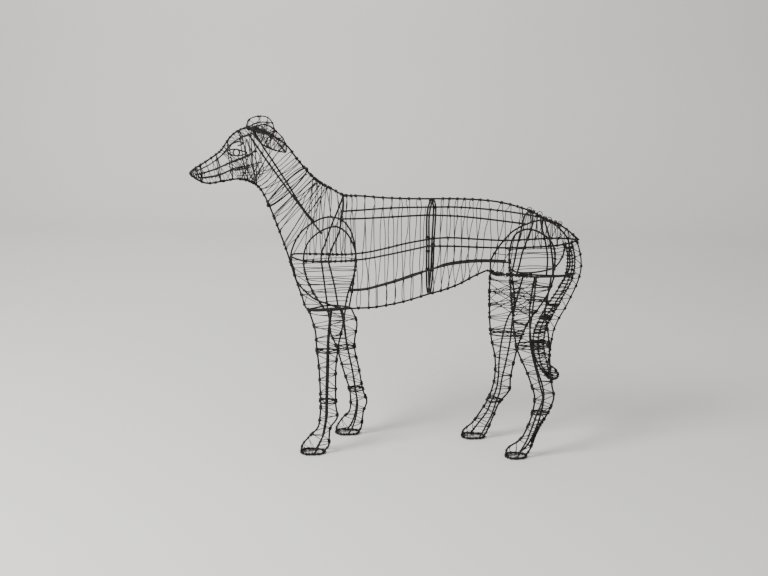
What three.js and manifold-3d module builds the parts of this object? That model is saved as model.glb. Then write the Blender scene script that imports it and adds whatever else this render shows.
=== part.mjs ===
// A dog topiary frame: a life-size sighthound drawn in the air with round steel bars.
// Millimetres, +Z up. The nose points along -X, the dog's left side is -Y, the paws stand on z = 0.
// The frame is two halves, welded together at a pair of hoops round the middle of the body.
import * as THREE from 'three';
import * as BufferGeometryUtils from 'three/addons/utils/BufferGeometryUtils.js';
import Module from 'manifold-3d';

const wasm = await Module();
wasm.setup();

// Driving sizes
const barDiameter = 5;          // the round bars of the body, neck and legs
const lightDiameter = 4;        // the thinner bars of the head, ears and tail
const lapOffset = 4.1;          // between the centre lines of two bars welded one over the other
const lightLap = 4.6;           // the same for the thinner bars
const weldGap = 0.3;            // air left between two bars where a weld bridges them
const barSides = 5;
const lightSides = 4;
const bendError = 2.4;          // how far a straight facet may stray from the true bend
const lightBendError = 1.8;

// Body: the two halves meet at hoops that stand a little askew
const jointX = 120;
const jointPitch = 6;           // from the front hoop to the rear hoop
const jointSkew = 0.17;         // how far the hoops turn towards the tail on the right side
const jointEndGap = 0.4;
const rightLowerDrop = 18;      // the right lower bar hangs a little lower than the left one
const chestTilt = 10;           // the chest hoop is higher on the left than on the right
const spineHeight = 695;
const chestHeight = 388;
const crotchHeight = 490;
const crotchTilt = 10;
const soleHeight = 1.6;         // centre line of the paw loops, whose undersides are ground flat
const footSpread = { leftFront: 82, rightFront: 74, leftHind: 84, rightHind: 62 };

// Outlines seen from the side, as [x, z]
const toplineFront = [
  [-517, 744], [-522, 750], [-515, 759], [-505, 766], [-481, 781], [-451, 802], [-437, 814],
  [-421, 838], [-403, 858], [-372, 873], [-330, 868], [-290, 848], [-263, 828], [-234, 791],
  [-186, 740], [-138, spineHeight + 18], [-111, spineHeight + 5], [-70, spineHeight + 4],
  [0, spineHeight], [60, spineHeight - 1],
];
const toplineRear = [
  [180, spineHeight + 1], [240, spineHeight], [300, spineHeight - 5], [354, spineHeight - 17],
  [392, spineHeight - 30], [430, 646], [468, 631], [494, 614], [522, 591],
];
const underlineFront = [
  [-512, 740], [-498, 732], [-475, 725], [-436, 731], [-394, 738], [-360, 732], [-338, 717],
  [-318, 684], [-282, 594], [-260, 532], [-246, 486], [-224, chestHeight + 35],
  [-208, chestHeight - 3], [-150, chestHeight - 6], [-86, chestHeight + 1], [-24, chestHeight + 6],
  [50, chestHeight + 22],
];
const underlineRear = [
  [165, crotchHeight - 43], [205, crotchHeight - 26], [245, crotchHeight - 3],
  [276, crotchHeight + 12],
];

// Long bars of the body, as [x, half width, z]
const upperFront = [[-122, 64, 646], [-60, 73, 650], [0, 77, 655], [60, 74, 659]];
const upperRear = [[180, 78, 662], [240, 86, 659], [310, 92, 653], [370, 91, 646]];
const rightUpperEnd = [433, 82, 637];
const middleFront = [
  [-253, 0, 533], [-252, 13, 533], [-240, 31, 532], [-214, 48, 529], [-170, 50, 529], [-110, 46, 530],
  [-50, 45, 537], [0, 48, 548], [60, 53, 563],
];
const middleRear = [
  [180, 63, 579], [250, 60, 577], [330, 54, 576], [400, 56, 580], [450, 54, 584], [488, 36, 588],
  [509, 15, 590], [515, 0, 590],
];
const lowerFront = [[-96, 45, 449], [-51, 45, 453], [-11, 46, 464], [42, 48, 481], [82, 49, 496]];
const lowerRear = [[165, 51, 525], [215, 53, 534], [265, 55, 538], [335, 56, 537]];
// The section where the halves meet, from the spine down to the belly, as [half width, z]
const jointSection = {
  spine: spineHeight, upper: [70, 662], middle: [58, 577], lower: [50, 510], belly: chestHeight + 46,
};

// Shoulder and thigh outlines on the flanks, as [x, half width, z]
const leftShoulderArch = [
  [-160, 57, 402], [-187, 57, 443], [-207, 57, 487], [-215, 54, 535], [-203, 60, 580],
  [-168, 69, 614], [-128, 73, 627], [-100, 66, 608], [-79, 52, 562], [-76, 49.5, 533],
  [-82, 50, 490], [-97, 52, 440], [-104, 55, 400],
];
const rightShoulderArch = [
  [-117, 57, 372], [-152, 57, 385], [-196, 57, 402], [-240, 56, 447], [-252, 40, 495],
  [-256, 24.5, 529], [-236, 52, 580], [-199, 67, 613], [-158, 73, 628], [-120, 67, 622],
  [-97, 60, 598], [-84, 52, 562], [-80, 49.5, 533], [-84, 50, 460], [-96, 55, 378],
];
const withersRibLeft = [
  [-111, 45, 675], [-115, 60, 648], [-121, 59, 610], [-142, 48, 560], [-149, 44.6, 532],
  [-142, 46, 500], [-133, 48, 465], [-121, 50, 398],
];
const withersRibRight = [
  [-121, 45, 675], [-131, 59, 648], [-148, 58, 606], [-164, 48, 558], [-174, 45, 527],
  [-170, 46, 485], [-164, 48, 440], [-156, 50, 380],
];
const leftThighArch = [
  [337, 49, 497], [330, 60.3, 537], [331, 58.3, 576], [341, 68, 613], [364, 74, 629],
  [390, 74, 628], [425, 70, 609], [444, 61, 585], [451, 58, 552], [449, 54, 508], [447, 55, 500],
];
const leftThighSling = [
  [335, 66, 521], [347, 66, 514], [377, 66, 512], [421, 66, 518], [451, 65, 529], [471, 56, 557],
  [477, 48, 582],
];
const rightThighArch = [
  [292, 48, 489], [294, 59.4, 519], [310, 58, 552], [331, 59, 580], [352, 67, 600],
  [386, 73, 618], [425, 74, 630], [456, 65, 626], [483, 52, 606], [499, 35, 584], [505, 40, 546],
  [509, 44, 512], [502, 50, 482], [482, 54, 446],
];
const frontHipHoop = [[388, 45, 658], [383, 78, 640], [373, 68, 600], [364, 54, 562], [358, 49, 525]];
const rearHipHoop = [[423, 45, 640], [429, 68, 617], [438, 56, 583], [445, 50, 550], [448, 49, 525]];
const hipHoopFoot = { front: [351, 53], rear: [448, 54] };
const leftNeckBar = [
  [-362, 31, 862], [-335, 37, 824], [-308, 43, 787], [-275, 50, 744], [-235, 58, 692],
  [-195, 65, 642], [-166, 65, 606],
];
const rightNeckBar = [
  [-353, 27, 862], [-330, 33, 821], [-301, 41, 776], [-268, 51, 723], [-238, 58, 672],
  [-214, 62, 638], [-192, 62, 614],
];

// Legs, from the top down: height, then the x of the front, rear, outer and inner bars,
// then the half depth of the leg across its side bars
const leftFrontLeg = [
  [chestHeight + 14, -203, -102, -142, -139, 4], [340, -183, -112, -147, -145, 17],
  [300, -179, -120, -149, -147, 17], [240, -172, -126, -150, -147, 16],
  [180, -168, -126, -151, -148, 15], [135, -166, -125, -151, -149, 15],
  [100, -168, -121, -152, -149, 15], [72, -173, -139, -156, -153, 14],
  [47, -190, -142, -161, -158, 16], [22, -213, -143, -172, -169, 19],
];
const rightFrontLeg = [
  [chestHeight - 10, -157, -91, -122, -116, 4], [334, -150, -74, -113, -108, 17],
  [300, -146, -78, -108, -104, 17], [262, -130, -80, -102, -98, 17],
  [195, -111, -66, -87, -84, 15], [132, -92, -54, -77, -74, 15],
  [100, -89, -43, -72, -69, 15], [70, -92, -52, -74, -71, 14],
  [45, -113, -55, -79, -76, 16], [20, -128, -58, -88, -85, 19],
];
const leftHindLeg = [
  [crotchHeight + 8, 334, 443, 403, 400, 4], [440, 340, 436, 398, 395, 16],
  [400, 345, 432, 395, 393, 18], [345, 352, 443, 391, 397, 18], [300, 362, 448, 398, 404, 18],
  [237, 391, 454, 416, 422, 16], [200, 405, 460, 427, 435, 15],
  [170, 414, 466, 434, 441, 14], [125, 410, 451, 420, 436, 12],
  [80, 396, 426, 406, 424, 12], [50, 380, 415, 395, 413, 14],
  [24, 346, 408, 380, 400, 18],
];
const rightHindLeg = [
  [crotchHeight - 9, 293, 472, 387, 352, 4], [430, 293, 457, 377, 360, 16],
  [385, 295, 432, 367, 362, 18], [350, 297, 408, 350, 358, 18], [295, 304, 386, 337, 355, 17],
  [237, 317, 372, 331, 347, 16], [180, 318, 363, 330, 337, 14],
  [143, 311, 361, 326, 333, 13], [105, 297, 334, 313, 322, 12],
  [70, 277, 321, 300, 312, 13], [45, 261, 312, 284, 300, 15],
  [20, 235, 303, 268, 288, 18],
];
const legRings = {
  leftFront: [284, 145], rightFront: [262, 136], leftHind: [315, 125], rightHind: [308, 113],
};
const legHips = { leftFront: 52, rightFront: 52, leftHind: 60, rightHind: 60 };
const soleBounds = {
  leftFront: [-219, -154], rightFront: [-131, -64], leftHind: [340, 398], rightHind: [230, 296],
};
const soleHalfDepth = 21;

// Head, as [x, half width, z] from the nose back; each bar is one hairpin bent round the nose
const browBar = [
  [-507, 0, 757], [-503, 7, 758], [-470, 9.5, 774], [-434, 16, 802], [-408, 22, 832],
  [-380, 27, 850], [-352, 32, 857],
];
const cheekBar = [
  [-507, 0, 748], [-501, 8, 748], [-456, 15, 762], [-416, 23, 780], [-386, 31, 792],
  [-352, 37, 808],
];
const mouthBar = [
  [-498, 0, 740], [-490, 9, 739], [-445, 15, 747], [-410, 22, 762], [-376, 30, 769],
  [-334, 38, 780],
];
// Rings round the head, from the topline down to the underline, as [x, z]
const headRings = [
  { top: [-494, 773], bottom: [-488, 729] },
  { top: [-450, 803], bottom: [-440, 730] },
  { top: [-420, 839], bottom: [-408, 736] },
  { top: [-386, 867], bottom: [-368, 733] },
  { top: [-356, 872], bottom: [-345, 722] },
];
const leftEar = [
  [-350, -24, 872], [-318, -40, 886], [-290, -47, 872], [-266, -50, 846], [-262, -50, 818],
  [-290, -52, 822], [-325, -48, 838],
];
const rightEar = [
  [-372, 24, 872], [-366, 34, 893], [-345, 40, 901], [-318, 42, 901], [-300, 42, 886],
  [-296, 44, 862], [-330, 46, 856],
];

// Tail, from the root down: height, then the x of its rear, front, left and right bars, and its half depth
const tailRows = [
  [585, 518, 486, 493, 502, 7], [548, 529, 494, 504, 514, 9], [510, 532, 494, 505, 516, 11],
  [475, 525, 484, 495, 510, 12], [438, 511, 464, 477, 493, 13], [405, 497, 444, 458, 478, 13],
  [370, 479, 428, 438, 460, 13], [335, 467, 415, 427, 447, 13], [302, 463, 413, 425, 444, 12],
  [270, 460, 418, 430, 448, 12], [240, 461, 430, 438, 456, 10],
];
const tailTip = [[476, 228], [486, 214], [485, 203], [468, 198], [449, 214]];
const tailFlankTip = [462, 210];

// Materials: every bar is bare mild steel gone dark with oxide
function darkSteel(colour) {
  return new THREE.MeshStandardMaterial({ color: colour, roughness: 0.62, metalness: 0.75 });
}
const bodySteel = darkSteel(0x2c2724);
const hoopSteel = darkSteel(0x322b27);
const legSteel = darkSteel(0x2a2623);
const headSteel = darkSteel(0x2f2925);

function barSection(diameter, sides) {
  const shape = new THREE.Shape();
  for (let i = 0; i < sides; i += 1) {
    const angle = (i / sides) * Math.PI * 2;
    const x = (Math.cos(angle) * diameter) / 2;
    const y = (Math.sin(angle) * diameter) / 2;
    if (i === 0) {
      shape.moveTo(x, y);
    } else {
      shape.lineTo(x, y);
    }
  }
  return shape;
}

// A smooth curve cut into straight facets, few where it runs straight and more where it bends
class FacetedPath extends THREE.Curve {
  constructor(smooth, error) {
    super();
    const samples = 240;
    this.points = smooth.getPoints(samples);
    this.directions = this.points.map((_, i) => smooth.getTangent(i / samples));
    const middle = samples / 2;
    this.knots = [0, ...this.bends(0, middle, error), middle, ...this.bends(middle, samples, error), samples];
  }

  // The sample furthest from the chord becomes a knot, until every chord is close enough
  bends(first, last, error) {
    const chord = new THREE.Line3(this.points[first], this.points[last]);
    const foot = new THREE.Vector3();
    let worst = first;
    let distance = error;
    for (let i = first + 1; i < last; i += 1) {
      chord.closestPointToPoint(this.points[i], true, foot);
      if (foot.distanceTo(this.points[i]) > distance) {
        distance = foot.distanceTo(this.points[i]);
        worst = i;
      }
    }
    if (worst === first) {
      return [];
    }
    return [...this.bends(first, worst, error), worst, ...this.bends(worst, last, error)];
  }

  get steps() {
    return this.knots.length - 1;
  }

  knotAt(share) {
    return this.knots[Math.round(share * this.steps)];
  }

  getPoint(share) {
    return this.points[this.knotAt(share)].clone();
  }

  getPointAt(share) {
    return this.getPoint(share);
  }

  getTangentAt(share) {
    return this.directions[this.knotAt(share)].clone();
  }
}

function toSolid(geometry) {
  geometry.deleteAttribute('normal');
  geometry.deleteAttribute('uv');
  const merged = BufferGeometryUtils.mergeVertices(geometry, 1e-3);
  return new wasm.Manifold(new wasm.Mesh({
    numProp: 3,
    vertProperties: new Float32Array(merged.attributes.position.array),
    triVerts: new Uint32Array(merged.index.array),
  }));
}

function sweep(path, steps, diameter, sides) {
  const geometry = new THREE.ExtrudeGeometry(barSection(diameter, sides), {
    steps,
    bevelEnabled: false,
    extrudePath: path,
  });
  return toSolid(geometry);
}

// One bar or closed ring bent through its points; "grow" makes the slightly fatter body used for
// clearing, with the same facets and a short stub past each end
function bendBar({ points, diameter, closed }, grow) {
  const vectors = points.map((p) => new THREE.Vector3(...p));
  const smooth = new THREE.CatmullRomCurve3(vectors, closed, 'centripetal');
  const light = diameter < barDiameter;
  const sides = light ? lightSides : barSides;
  const path = new FacetedPath(smooth, light ? lightBendError : bendError);
  const thickness = diameter + 2 * grow;
  if (closed) {
    return toSolid(new THREE.TubeGeometry(path, path.steps, thickness / 2, sides, true));
  }
  let solid = sweep(path, path.steps, thickness, sides);
  if (grow > 0) {
    for (const [end, inside] of [[0, 1], [vectors.length - 1, vectors.length - 2]]) {
      const outward = vectors[end].clone().sub(vectors[inside]).normalize();
      const from = vectors[end].clone().addScaledVector(outward, -grow);
      const to = vectors[end].clone().addScaledVector(outward, grow);
      solid = solid.add(sweep(new THREE.LineCurve3(from, to), 1, thickness, sides));
    }
  }
  return solid;
}

function bar(points, diameter = barDiameter) {
  return { points, diameter, closed: false };
}

function ring(points, diameter = barDiameter) {
  return { points, diameter, closed: true };
}

function joinBars(bars, grow) {
  let solid = bendBar(bars[0], grow);
  for (const next of bars.slice(1)) {
    solid = solid.add(bendBar(next, grow));
  }
  return solid;
}

function largestBody(solid) {
  let best = null;
  for (const piece of solid.decompose()) {
    if (best === null || piece.volume() > best.volume()) {
      best = piece;
    }
  }
  return best;
}

function boxesMeet(a, b) {
  for (let axis = 0; axis < 3; axis += 1) {
    if (a.max[axis] < b.min[axis] || b.max[axis] < a.min[axis]) {
      return false;
    }
  }
  return true;
}

function toGeometry(solid) {
  const mesh = solid.getMesh();
  const geometry = new THREE.BufferGeometry();
  geometry.setAttribute('position', new THREE.BufferAttribute(new Float32Array(mesh.vertProperties), 3));
  geometry.setIndex(new THREE.BufferAttribute(new Uint32Array(mesh.triVerts), 1));
  geometry.computeVertexNormals();
  return geometry;
}

// Each new piece is relieved where it crosses a piece that is already there
const frame = new THREE.Group();
const placed = [];
const ground = toSolid(new THREE.BoxGeometry(2000, 600, 40).translate(0, 0, -20));

function place(name, bars, material) {
  let solid = joinBars(bars, 0);
  const box = solid.boundingBox();
  for (const neighbour of placed) {
    if (boxesMeet(box, neighbour.box)) {
      solid = solid.subtract(neighbour.cutter);
    }
  }
  if (box.min[2] < 0) {
    solid = solid.subtract(ground);
  }
  solid = largestBody(solid);
  const cutter = joinBars(bars, weldGap);
  placed.push({ cutter, box: cutter.boundingBox() });
  const mesh = new THREE.Mesh(toGeometry(solid), material);
  mesh.name = name;
  frame.add(mesh);
}

function onCentre(outline, lift = 0) {
  return outline.map(([x, z]) => [x, 0, z + lift]);
}

function onSide(points, side, drop = 0) {
  return points.map(([x, halfWidth, z]) => [x, side * halfWidth, z - drop]);
}

function hoopX(y, back) {
  return jointX + back + jointSkew * y;
}

// The end of a long bar at the joint: front bars stop between the hoops, rear bars start there
function jointEnd(y, z, half) {
  const middle = hoopX(y, jointPitch / 2);
  return [middle + (half === 'front' ? -jointEndGap / 2 : jointEndGap / 2), y, z];
}

const sides = [['left', -1], ['right', 1]];

function buildBackAndBelly() {
  const { spine, belly } = jointSection;
  place('spine_front', [bar([...onCentre(toplineFront), jointEnd(0, spine, 'front')])], bodySteel);
  place('spine_rear', [bar([jointEnd(0, spine, 'rear'), ...onCentre(toplineRear)])], bodySteel);
  place('belly_front', [bar([...onCentre(underlineFront), jointEnd(0, belly, 'front')])], bodySteel);
  place('belly_rear', [bar([jointEnd(0, belly, 'rear'), ...onCentre(underlineRear)])], bodySteel);
}

// A line drawn for the right side, and bent round y = 0 into the same line on the left
function hairpin(right) {
  const left = right.filter(([, y]) => y > 0).map(([x, y, z]) => [x, -y, z]);
  return [...left.reverse(), ...right];
}

function buildFlankBars() {
  const { upper, middle, lower } = jointSection;
  const [halfWidth, z] = middle;
  const end = (side, half) => jointEnd(side * halfWidth, z, half);
  const front = hairpin(middleFront);
  const rear = hairpin([...middleRear].reverse());
  place('middle_bar_front', [bar([end(-1, 'front'), ...front, end(1, 'front')])], bodySteel);
  place('middle_bar_rear', [bar([end(-1, 'rear'), ...rear, end(1, 'rear')])], bodySteel);
  for (const [sideName, side] of sides) {
    const drop = side > 0 ? rightLowerDrop : 0;
    const rows = [
      ['upper', upperFront, side > 0 ? [...upperRear, rightUpperEnd] : upperRear, upper, 0],
      ['lower', lowerFront, lowerRear, lower, drop],
    ];
    for (const [level, frontHalf, rearHalf, [width, height], sink] of rows) {
      const frontEnd = jointEnd(side * width, height - sink, 'front');
      const rearEnd = jointEnd(side * width, height - sink, 'rear');
      place(`${level}_bar_front_${sideName}`, [bar([...onSide(frontHalf, side, sink), frontEnd])], bodySteel);
      place(`${level}_bar_rear_${sideName}`, [bar([rearEnd, ...onSide(rearHalf, side, sink)])], bodySteel);
    }
  }
}

// A hoop inside the long bars, one lap inwards from each of them
function jointHoop(back) {
  const { spine, upper, middle, lower, belly } = jointSection;
  const inward = lapOffset;
  const half = (side) => [
    [side * (upper[0] - 0.8 * inward), upper[1] - 0.6 * inward],
    [side * (middle[0] - inward), middle[1]],
    [side * (lower[0] - inward), lower[1] - (side > 0 ? rightLowerDrop : 0)],
    [side * 0.52 * lower[0], belly + 0.3 * (lower[1] - belly)],
  ];
  const section = [[0, spine - inward], ...half(1), [0, belly + inward], ...half(-1).reverse()];
  const points = section.map(([y, z]) => [hoopX(y, back), y, z]);
  return ring(points);
}

function buildHoops() {
  place('joint_hoop_front', [jointHoop(0)], hoopSteel);
  place('joint_hoop_rear', [jointHoop(jointPitch)], hoopSteel);
  const high = chestHeight + chestTilt + lapOffset;
  const low = chestHeight - chestTilt + lapOffset;
  const chest = [
    [-207, 0, chestHeight - 4], [-200, -48, high - 8], [-150, -60, high], [-104, -50, high],
    [-95, 0, chestHeight + 1 + lapOffset], [-104, 48, low], [-150, 58, low], [-200, 48, low - 8],
  ];
  place('chest_hoop', [ring(chest)], hoopSteel);
  const crotch = [
    [282, 0, crotchHeight + 12], [310, -42, crotchHeight + crotchTilt + 3],
    [394, -60, crotchHeight + crotchTilt], [482, -46, crotchHeight + crotchTilt + 1],
    [516, 0, crotchHeight + 8], [482, 46, crotchHeight - crotchTilt + 2],
    [394, 60, crotchHeight - crotchTilt], [310, 42, crotchHeight - crotchTilt + 3],
  ];
  place('crotch_hoop', [ring(crotch)], hoopSteel);
}

function ribOver(spinePoint, leftSide, rightSide) {
  const left = onSide(leftSide, -1).reverse();
  const right = onSide(rightSide, 1);
  return [bar([...left, spinePoint, ...right])];
}

function buildRibs() {
  const withersTop = [-114, 0, spineHeight + 5 - lapOffset];
  place('withers_rib', ribOver(withersTop, withersRibLeft, withersRibRight), hoopSteel);
  const withFoot = (hoop, [x, width], side) => [...hoop, [x, width, crotchHeight - side * crotchTilt]];
  const rows = [
    ['front', [392, 0, spineHeight - 30 - lapOffset], frontHipHoop],
    ['rear', [427, 0, 648 - lapOffset], rearHipHoop],
  ];
  for (const [name, top, hoop] of rows) {
    const foot = hipHoopFoot[name];
    place(`hip_hoop_${name}`, ribOver(top, withFoot(hoop, foot, -1), withFoot(hoop, foot, 1)), hoopSteel);
  }
}

function buildArches() {
  place('shoulder_arch_left', [bar(onSide(leftShoulderArch, -1))], hoopSteel);
  place('shoulder_arch_right', [bar(onSide(rightShoulderArch, 1))], hoopSteel);
  place('thigh_arch_left', [bar(onSide(leftThighArch, -1))], hoopSteel);
  place('thigh_sling_left', [bar(onSide(leftThighSling, -1), lightDiameter)], hoopSteel);
  place('thigh_arch_right', [bar(onSide(rightThighArch, 1))], hoopSteel);
}

function buildNeck() {
  place('neck_bar_left', [bar(onSide(leftNeckBar, -1))], bodySteel);
  place('neck_bar_right', [bar(onSide(rightNeckBar, 1))], bodySteel);
}

// Where a leg stands sideways at a height: from its hip out to its paw
function legSpread(leg, z) {
  const top = 400;
  const share = Math.min(1, Math.max(0, 1 - z / top));
  return legHips[leg] + (footSpread[leg] - legHips[leg]) * share;
}

function soleLoop(leg, side) {
  const [front, rear] = soleBounds[leg];
  const y = side * footSpread[leg];
  const points = [
    [front, y, soleHeight], [front + 14, y - soleHalfDepth, soleHeight],
    [(front + rear) / 2, y - soleHalfDepth, soleHeight], [rear - 10, y - 0.8 * soleHalfDepth, soleHeight],
    [rear, y, soleHeight], [rear - 10, y + 0.8 * soleHalfDepth, soleHeight],
    [(front + rear) / 2, y + soleHalfDepth, soleHeight], [front + 14, y + soleHalfDepth, soleHeight],
  ];
  return ring(points);
}

// The row of a leg at any height, between the two rows above and below it
function rowAt(rows, z) {
  const below = rows.findIndex((row) => row[0] <= z);
  const [high, low] = [rows[below - 1], rows[below]];
  const share = (z - low[0]) / (high[0] - low[0]);
  return low.map((value, column) => value + (high[column] - value) * share);
}

// A ring of bar round the four bars of a leg
function legRing(row, y) {
  const [z, front, rear, outer, , halfDepth] = row;
  const out = lapOffset;
  const points = [
    [front - out, y, z], [(front + outer) / 2, y - 0.8 * halfDepth - out, z], [outer, y - halfDepth - out, z],
    [(rear + outer) / 2, y - 0.8 * halfDepth - out, z], [rear + out, y, z],
    [(rear + outer) / 2, y + 0.8 * halfDepth + out, z], [outer, y + halfDepth + out, z],
    [(front + outer) / 2, y + 0.8 * halfDepth + out, z],
  ];
  return ring(points, lightDiameter);
}

function buildLeg(name, leg, rows, side) {
  const y = (row) => side * legSpread(leg, row[0]);
  const [soleFront, soleRear] = soleBounds[leg];
  const footY = side * footSpread[leg];
  const topOf = soleHeight + lapOffset;
  const line = (column, inwards) => rows.map((row) => [row[column], y(row) + inwards * row[5], row[0]]);
  const soleX = (column) => {
    const low = rows[rows.length - 1][column];
    return Math.min(soleRear - 6, Math.max(soleFront + 6, low));
  };
  const front = [...line(1, 0), [soleFront + 1, footY, topOf]];
  const rear = [...line(2, 0), [soleRear - 1, footY, topOf]];
  const outer = [...line(3, side), [soleX(3) - 9, footY + side * soleHalfDepth, topOf]];
  const inner = [...line(4, -side), [soleX(4) - 9, footY - side * soleHalfDepth, topOf - 1]];
  place(`${name}_paw_loop`, [soleLoop(leg, side)], legSteel);
  place(`${name}_leg_front_bar`, [bar(front)], legSteel);
  place(`${name}_leg_rear_bar`, [bar(rear)], legSteel);
  place(`${name}_leg_outer_bar`, [bar(outer)], legSteel);
  const rings = legRings[leg].map((z) => rowAt(rows, z)).map((row) => legRing(row, y(row)));
  place(`${name}_leg_inner_bar_and_rings`, [bar(inner), ...rings], legSteel);
}

function buildLegs() {
  buildLeg('left_front', 'leftFront', leftFrontLeg, -1);
  buildLeg('right_front', 'rightFront', rightFrontLeg, 1);
  buildLeg('left_hind', 'leftHind', leftHindLeg, -1);
  buildLeg('right_hind', 'rightHind', rightHindLeg, 1);
}

// Where a side bar of the head crosses the slanted plane of a ring
function crossing(line, { top, bottom }) {
  const slant = (bottom[0] - top[0]) / (bottom[1] - top[1]);
  const behind = ([x, , z]) => x - top[0] - slant * (z - top[1]);
  const found = line.findIndex((point) => behind(point) > 0);
  const next = found < 1 ? line.length - 1 : found;
  const [a, b] = [line[next - 1], line[next]];
  const share = behind(a) / (behind(a) - behind(b));
  return a.map((value, axis) => value + (b[axis] - value) * share);
}

// A ring of the head lies inside the bars that it is welded to
function headRing(station) {
  const { top, bottom } = station;
  const side = [browBar, cheekBar, mouthBar].map((line) => {
    const [x, halfWidth, z] = crossing(line, station);
    return [x, halfWidth - lightLap, z];
  });
  side[0][2] -= lightLap / 2;
  side[2][2] += lightLap / 2;
  const left = side.map(([x, y, z]) => [x, -y, z]).reverse();
  const crown = [top[0], 0, top[1] - lightLap - 1];
  const chin = [bottom[0], 0, bottom[1] + lightLap + 1];
  return ring([crown, ...side, chin, ...left], lightDiameter);
}

function buildHead() {
  place('brow_bar', [bar(hairpin(browBar), lightDiameter)], headSteel);
  place('cheek_bar', [bar(hairpin(cheekBar), lightDiameter)], headSteel);
  place('mouth_bar', [bar(hairpin(mouthBar), lightDiameter)], headSteel);
  headRings.forEach((station, index) => {
    place(`head_ring_${index + 1}`, [headRing(station)], headSteel);
  });
}

function buildEar(name, outline) {
  const root = outline[0];
  const tip = outline[4];
  const rib = outline[2].map((value, axis) => (value + root[axis] + tip[axis]) / 3);
  const middle = bar([root, rib, tip], lightDiameter);
  place(name, [ring(outline, lightDiameter), middle], headSteel);
}

// The tail is two hairpins: one seen from the side, one across it, bent round inside its tip
function buildTail() {
  const rear = tailRows.map(([z, x]) => [x, 0, z]);
  const front = tailRows.map(([z, , x]) => [x, 0, z]).reverse();
  const left = tailRows.map(([z, , , x, , depth]) => [x, -depth, z]);
  const right = tailRows.map(([z, , , , x, depth]) => [x, depth, z]).reverse();
  const tip = [tailFlankTip[0], 0, tailFlankTip[1]];
  place('tail_outer_bar', [bar([...rear, ...onCentre(tailTip), ...front], lightDiameter)], headSteel);
  place('tail_flank_bar', [bar([...left, tip, ...right], lightDiameter)], headSteel);
}

buildBackAndBelly();
buildFlankBars();
buildHoops();
buildRibs();
buildArches();
buildNeck();
buildHead();
buildEar('ear_left', leftEar);
buildEar('ear_right', rightEar);
buildLegs();
buildTail();

// The origin is under the middle of the whole frame
const bounds = new THREE.Box3().setFromObject(frame);
frame.position.x = -(bounds.min.x + bounds.max.x) / 2;
frame.position.y = -(bounds.min.y + bounds.max.y) / 2;

export default frame;
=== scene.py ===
import math
import random

import bmesh
import bpy
from mathutils import Matrix, Vector, kdtree


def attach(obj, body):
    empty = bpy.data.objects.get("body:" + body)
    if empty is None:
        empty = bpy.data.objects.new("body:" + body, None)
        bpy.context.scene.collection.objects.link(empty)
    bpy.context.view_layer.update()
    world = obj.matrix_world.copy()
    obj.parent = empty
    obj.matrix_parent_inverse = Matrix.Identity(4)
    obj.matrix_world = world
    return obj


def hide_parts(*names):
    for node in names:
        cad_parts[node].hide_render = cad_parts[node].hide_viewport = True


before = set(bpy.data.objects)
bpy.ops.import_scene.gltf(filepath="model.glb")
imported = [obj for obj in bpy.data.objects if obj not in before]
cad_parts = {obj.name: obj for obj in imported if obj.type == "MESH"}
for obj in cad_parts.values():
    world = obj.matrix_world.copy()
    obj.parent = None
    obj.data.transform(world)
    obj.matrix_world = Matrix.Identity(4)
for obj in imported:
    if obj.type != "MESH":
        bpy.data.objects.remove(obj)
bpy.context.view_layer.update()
print("frame loaded")

# The drawing below is in millimetres, nose along -X, and its own zero lies a little off the
# middle of the whole frame, so every piece is moved by this much before it becomes metres
millimetre = 0.001
drawingShift = Vector((-4.207, 4.880, 0.0))


def toFrame(point):
    return (Vector(point) + drawingShift) * millimetre


# Camera
cameraSettings = {
    "target": (0.0, 0.0, 448.0),
    "distance": 2902.0,
    "pitch": 13.0,       # degrees that it looks down
    "roll": 1.1,         # degrees, the tail end stands lower in the picture
    "lens": 50.0,
    "sensor": 36.0,
}


def makeCamera():
    s = cameraSettings
    pitch = math.radians(s["pitch"])
    roll = math.radians(s["roll"])
    forward = Vector((0, math.cos(pitch), -math.sin(pitch)))
    levelUp = Vector((0, math.sin(pitch), math.cos(pitch)))
    levelRight = Vector((1, 0, 0))
    right = levelRight * math.cos(roll) + levelUp * math.sin(roll)
    up = levelUp * math.cos(roll) - levelRight * math.sin(roll)
    data = bpy.data.cameras.new("camera")
    data.lens = s["lens"]
    data.sensor_width = s["sensor"]
    camera = bpy.data.objects.new("camera", data)
    bpy.context.scene.collection.objects.link(camera)
    place = toFrame(s["target"]) - forward * s["distance"] * millimetre
    turn = Matrix((right, up, -forward)).transposed()
    camera.matrix_world = Matrix.Translation(place) @ turn.to_4x4()
    bpy.context.scene.camera = camera


makeCamera()
print("camera set")


# Curves: a smooth line through a few points, the way the bars were bent
def smoothLine(points, closed=False, spacing=4.0):
    points = [Vector(p) for p in points]
    count = len(points)
    if not closed:
        points = [points[0] * 2 - points[1]] + points + [points[-1] * 2 - points[-2]]
        spans = count - 1
        corner = lambda i, k: points[i + k]
    else:
        spans = count
        corner = lambda i, k: points[(i + k - 1) % count]
    line = []
    for i in range(spans):
        a, b, c, d = (corner(i, k) for k in range(4))
        before = max(math.sqrt((b - a).length), 1e-3)
        here = max(math.sqrt((c - b).length), 1e-3)
        after = max(math.sqrt((d - c).length), 1e-3)
        startSlope = ((b - a) / before - (c - a) / (before + here) + (c - b) / here) * here
        endSlope = ((c - b) / here - (d - b) / (here + after) + (d - c) / after) * here
        cuts = max(2, math.ceil((c - b).length / spacing))
        for k in range(cuts):
            t = k / cuts
            line.append(b * (2 * t ** 3 - 3 * t ** 2 + 1) + startSlope * (t ** 3 - 2 * t ** 2 + t)
                        + c * (3 * t ** 2 - 2 * t ** 3) + endSlope * (t ** 3 - t ** 2))
    if not closed:
        line.append(points[-2].copy())
    return line


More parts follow.
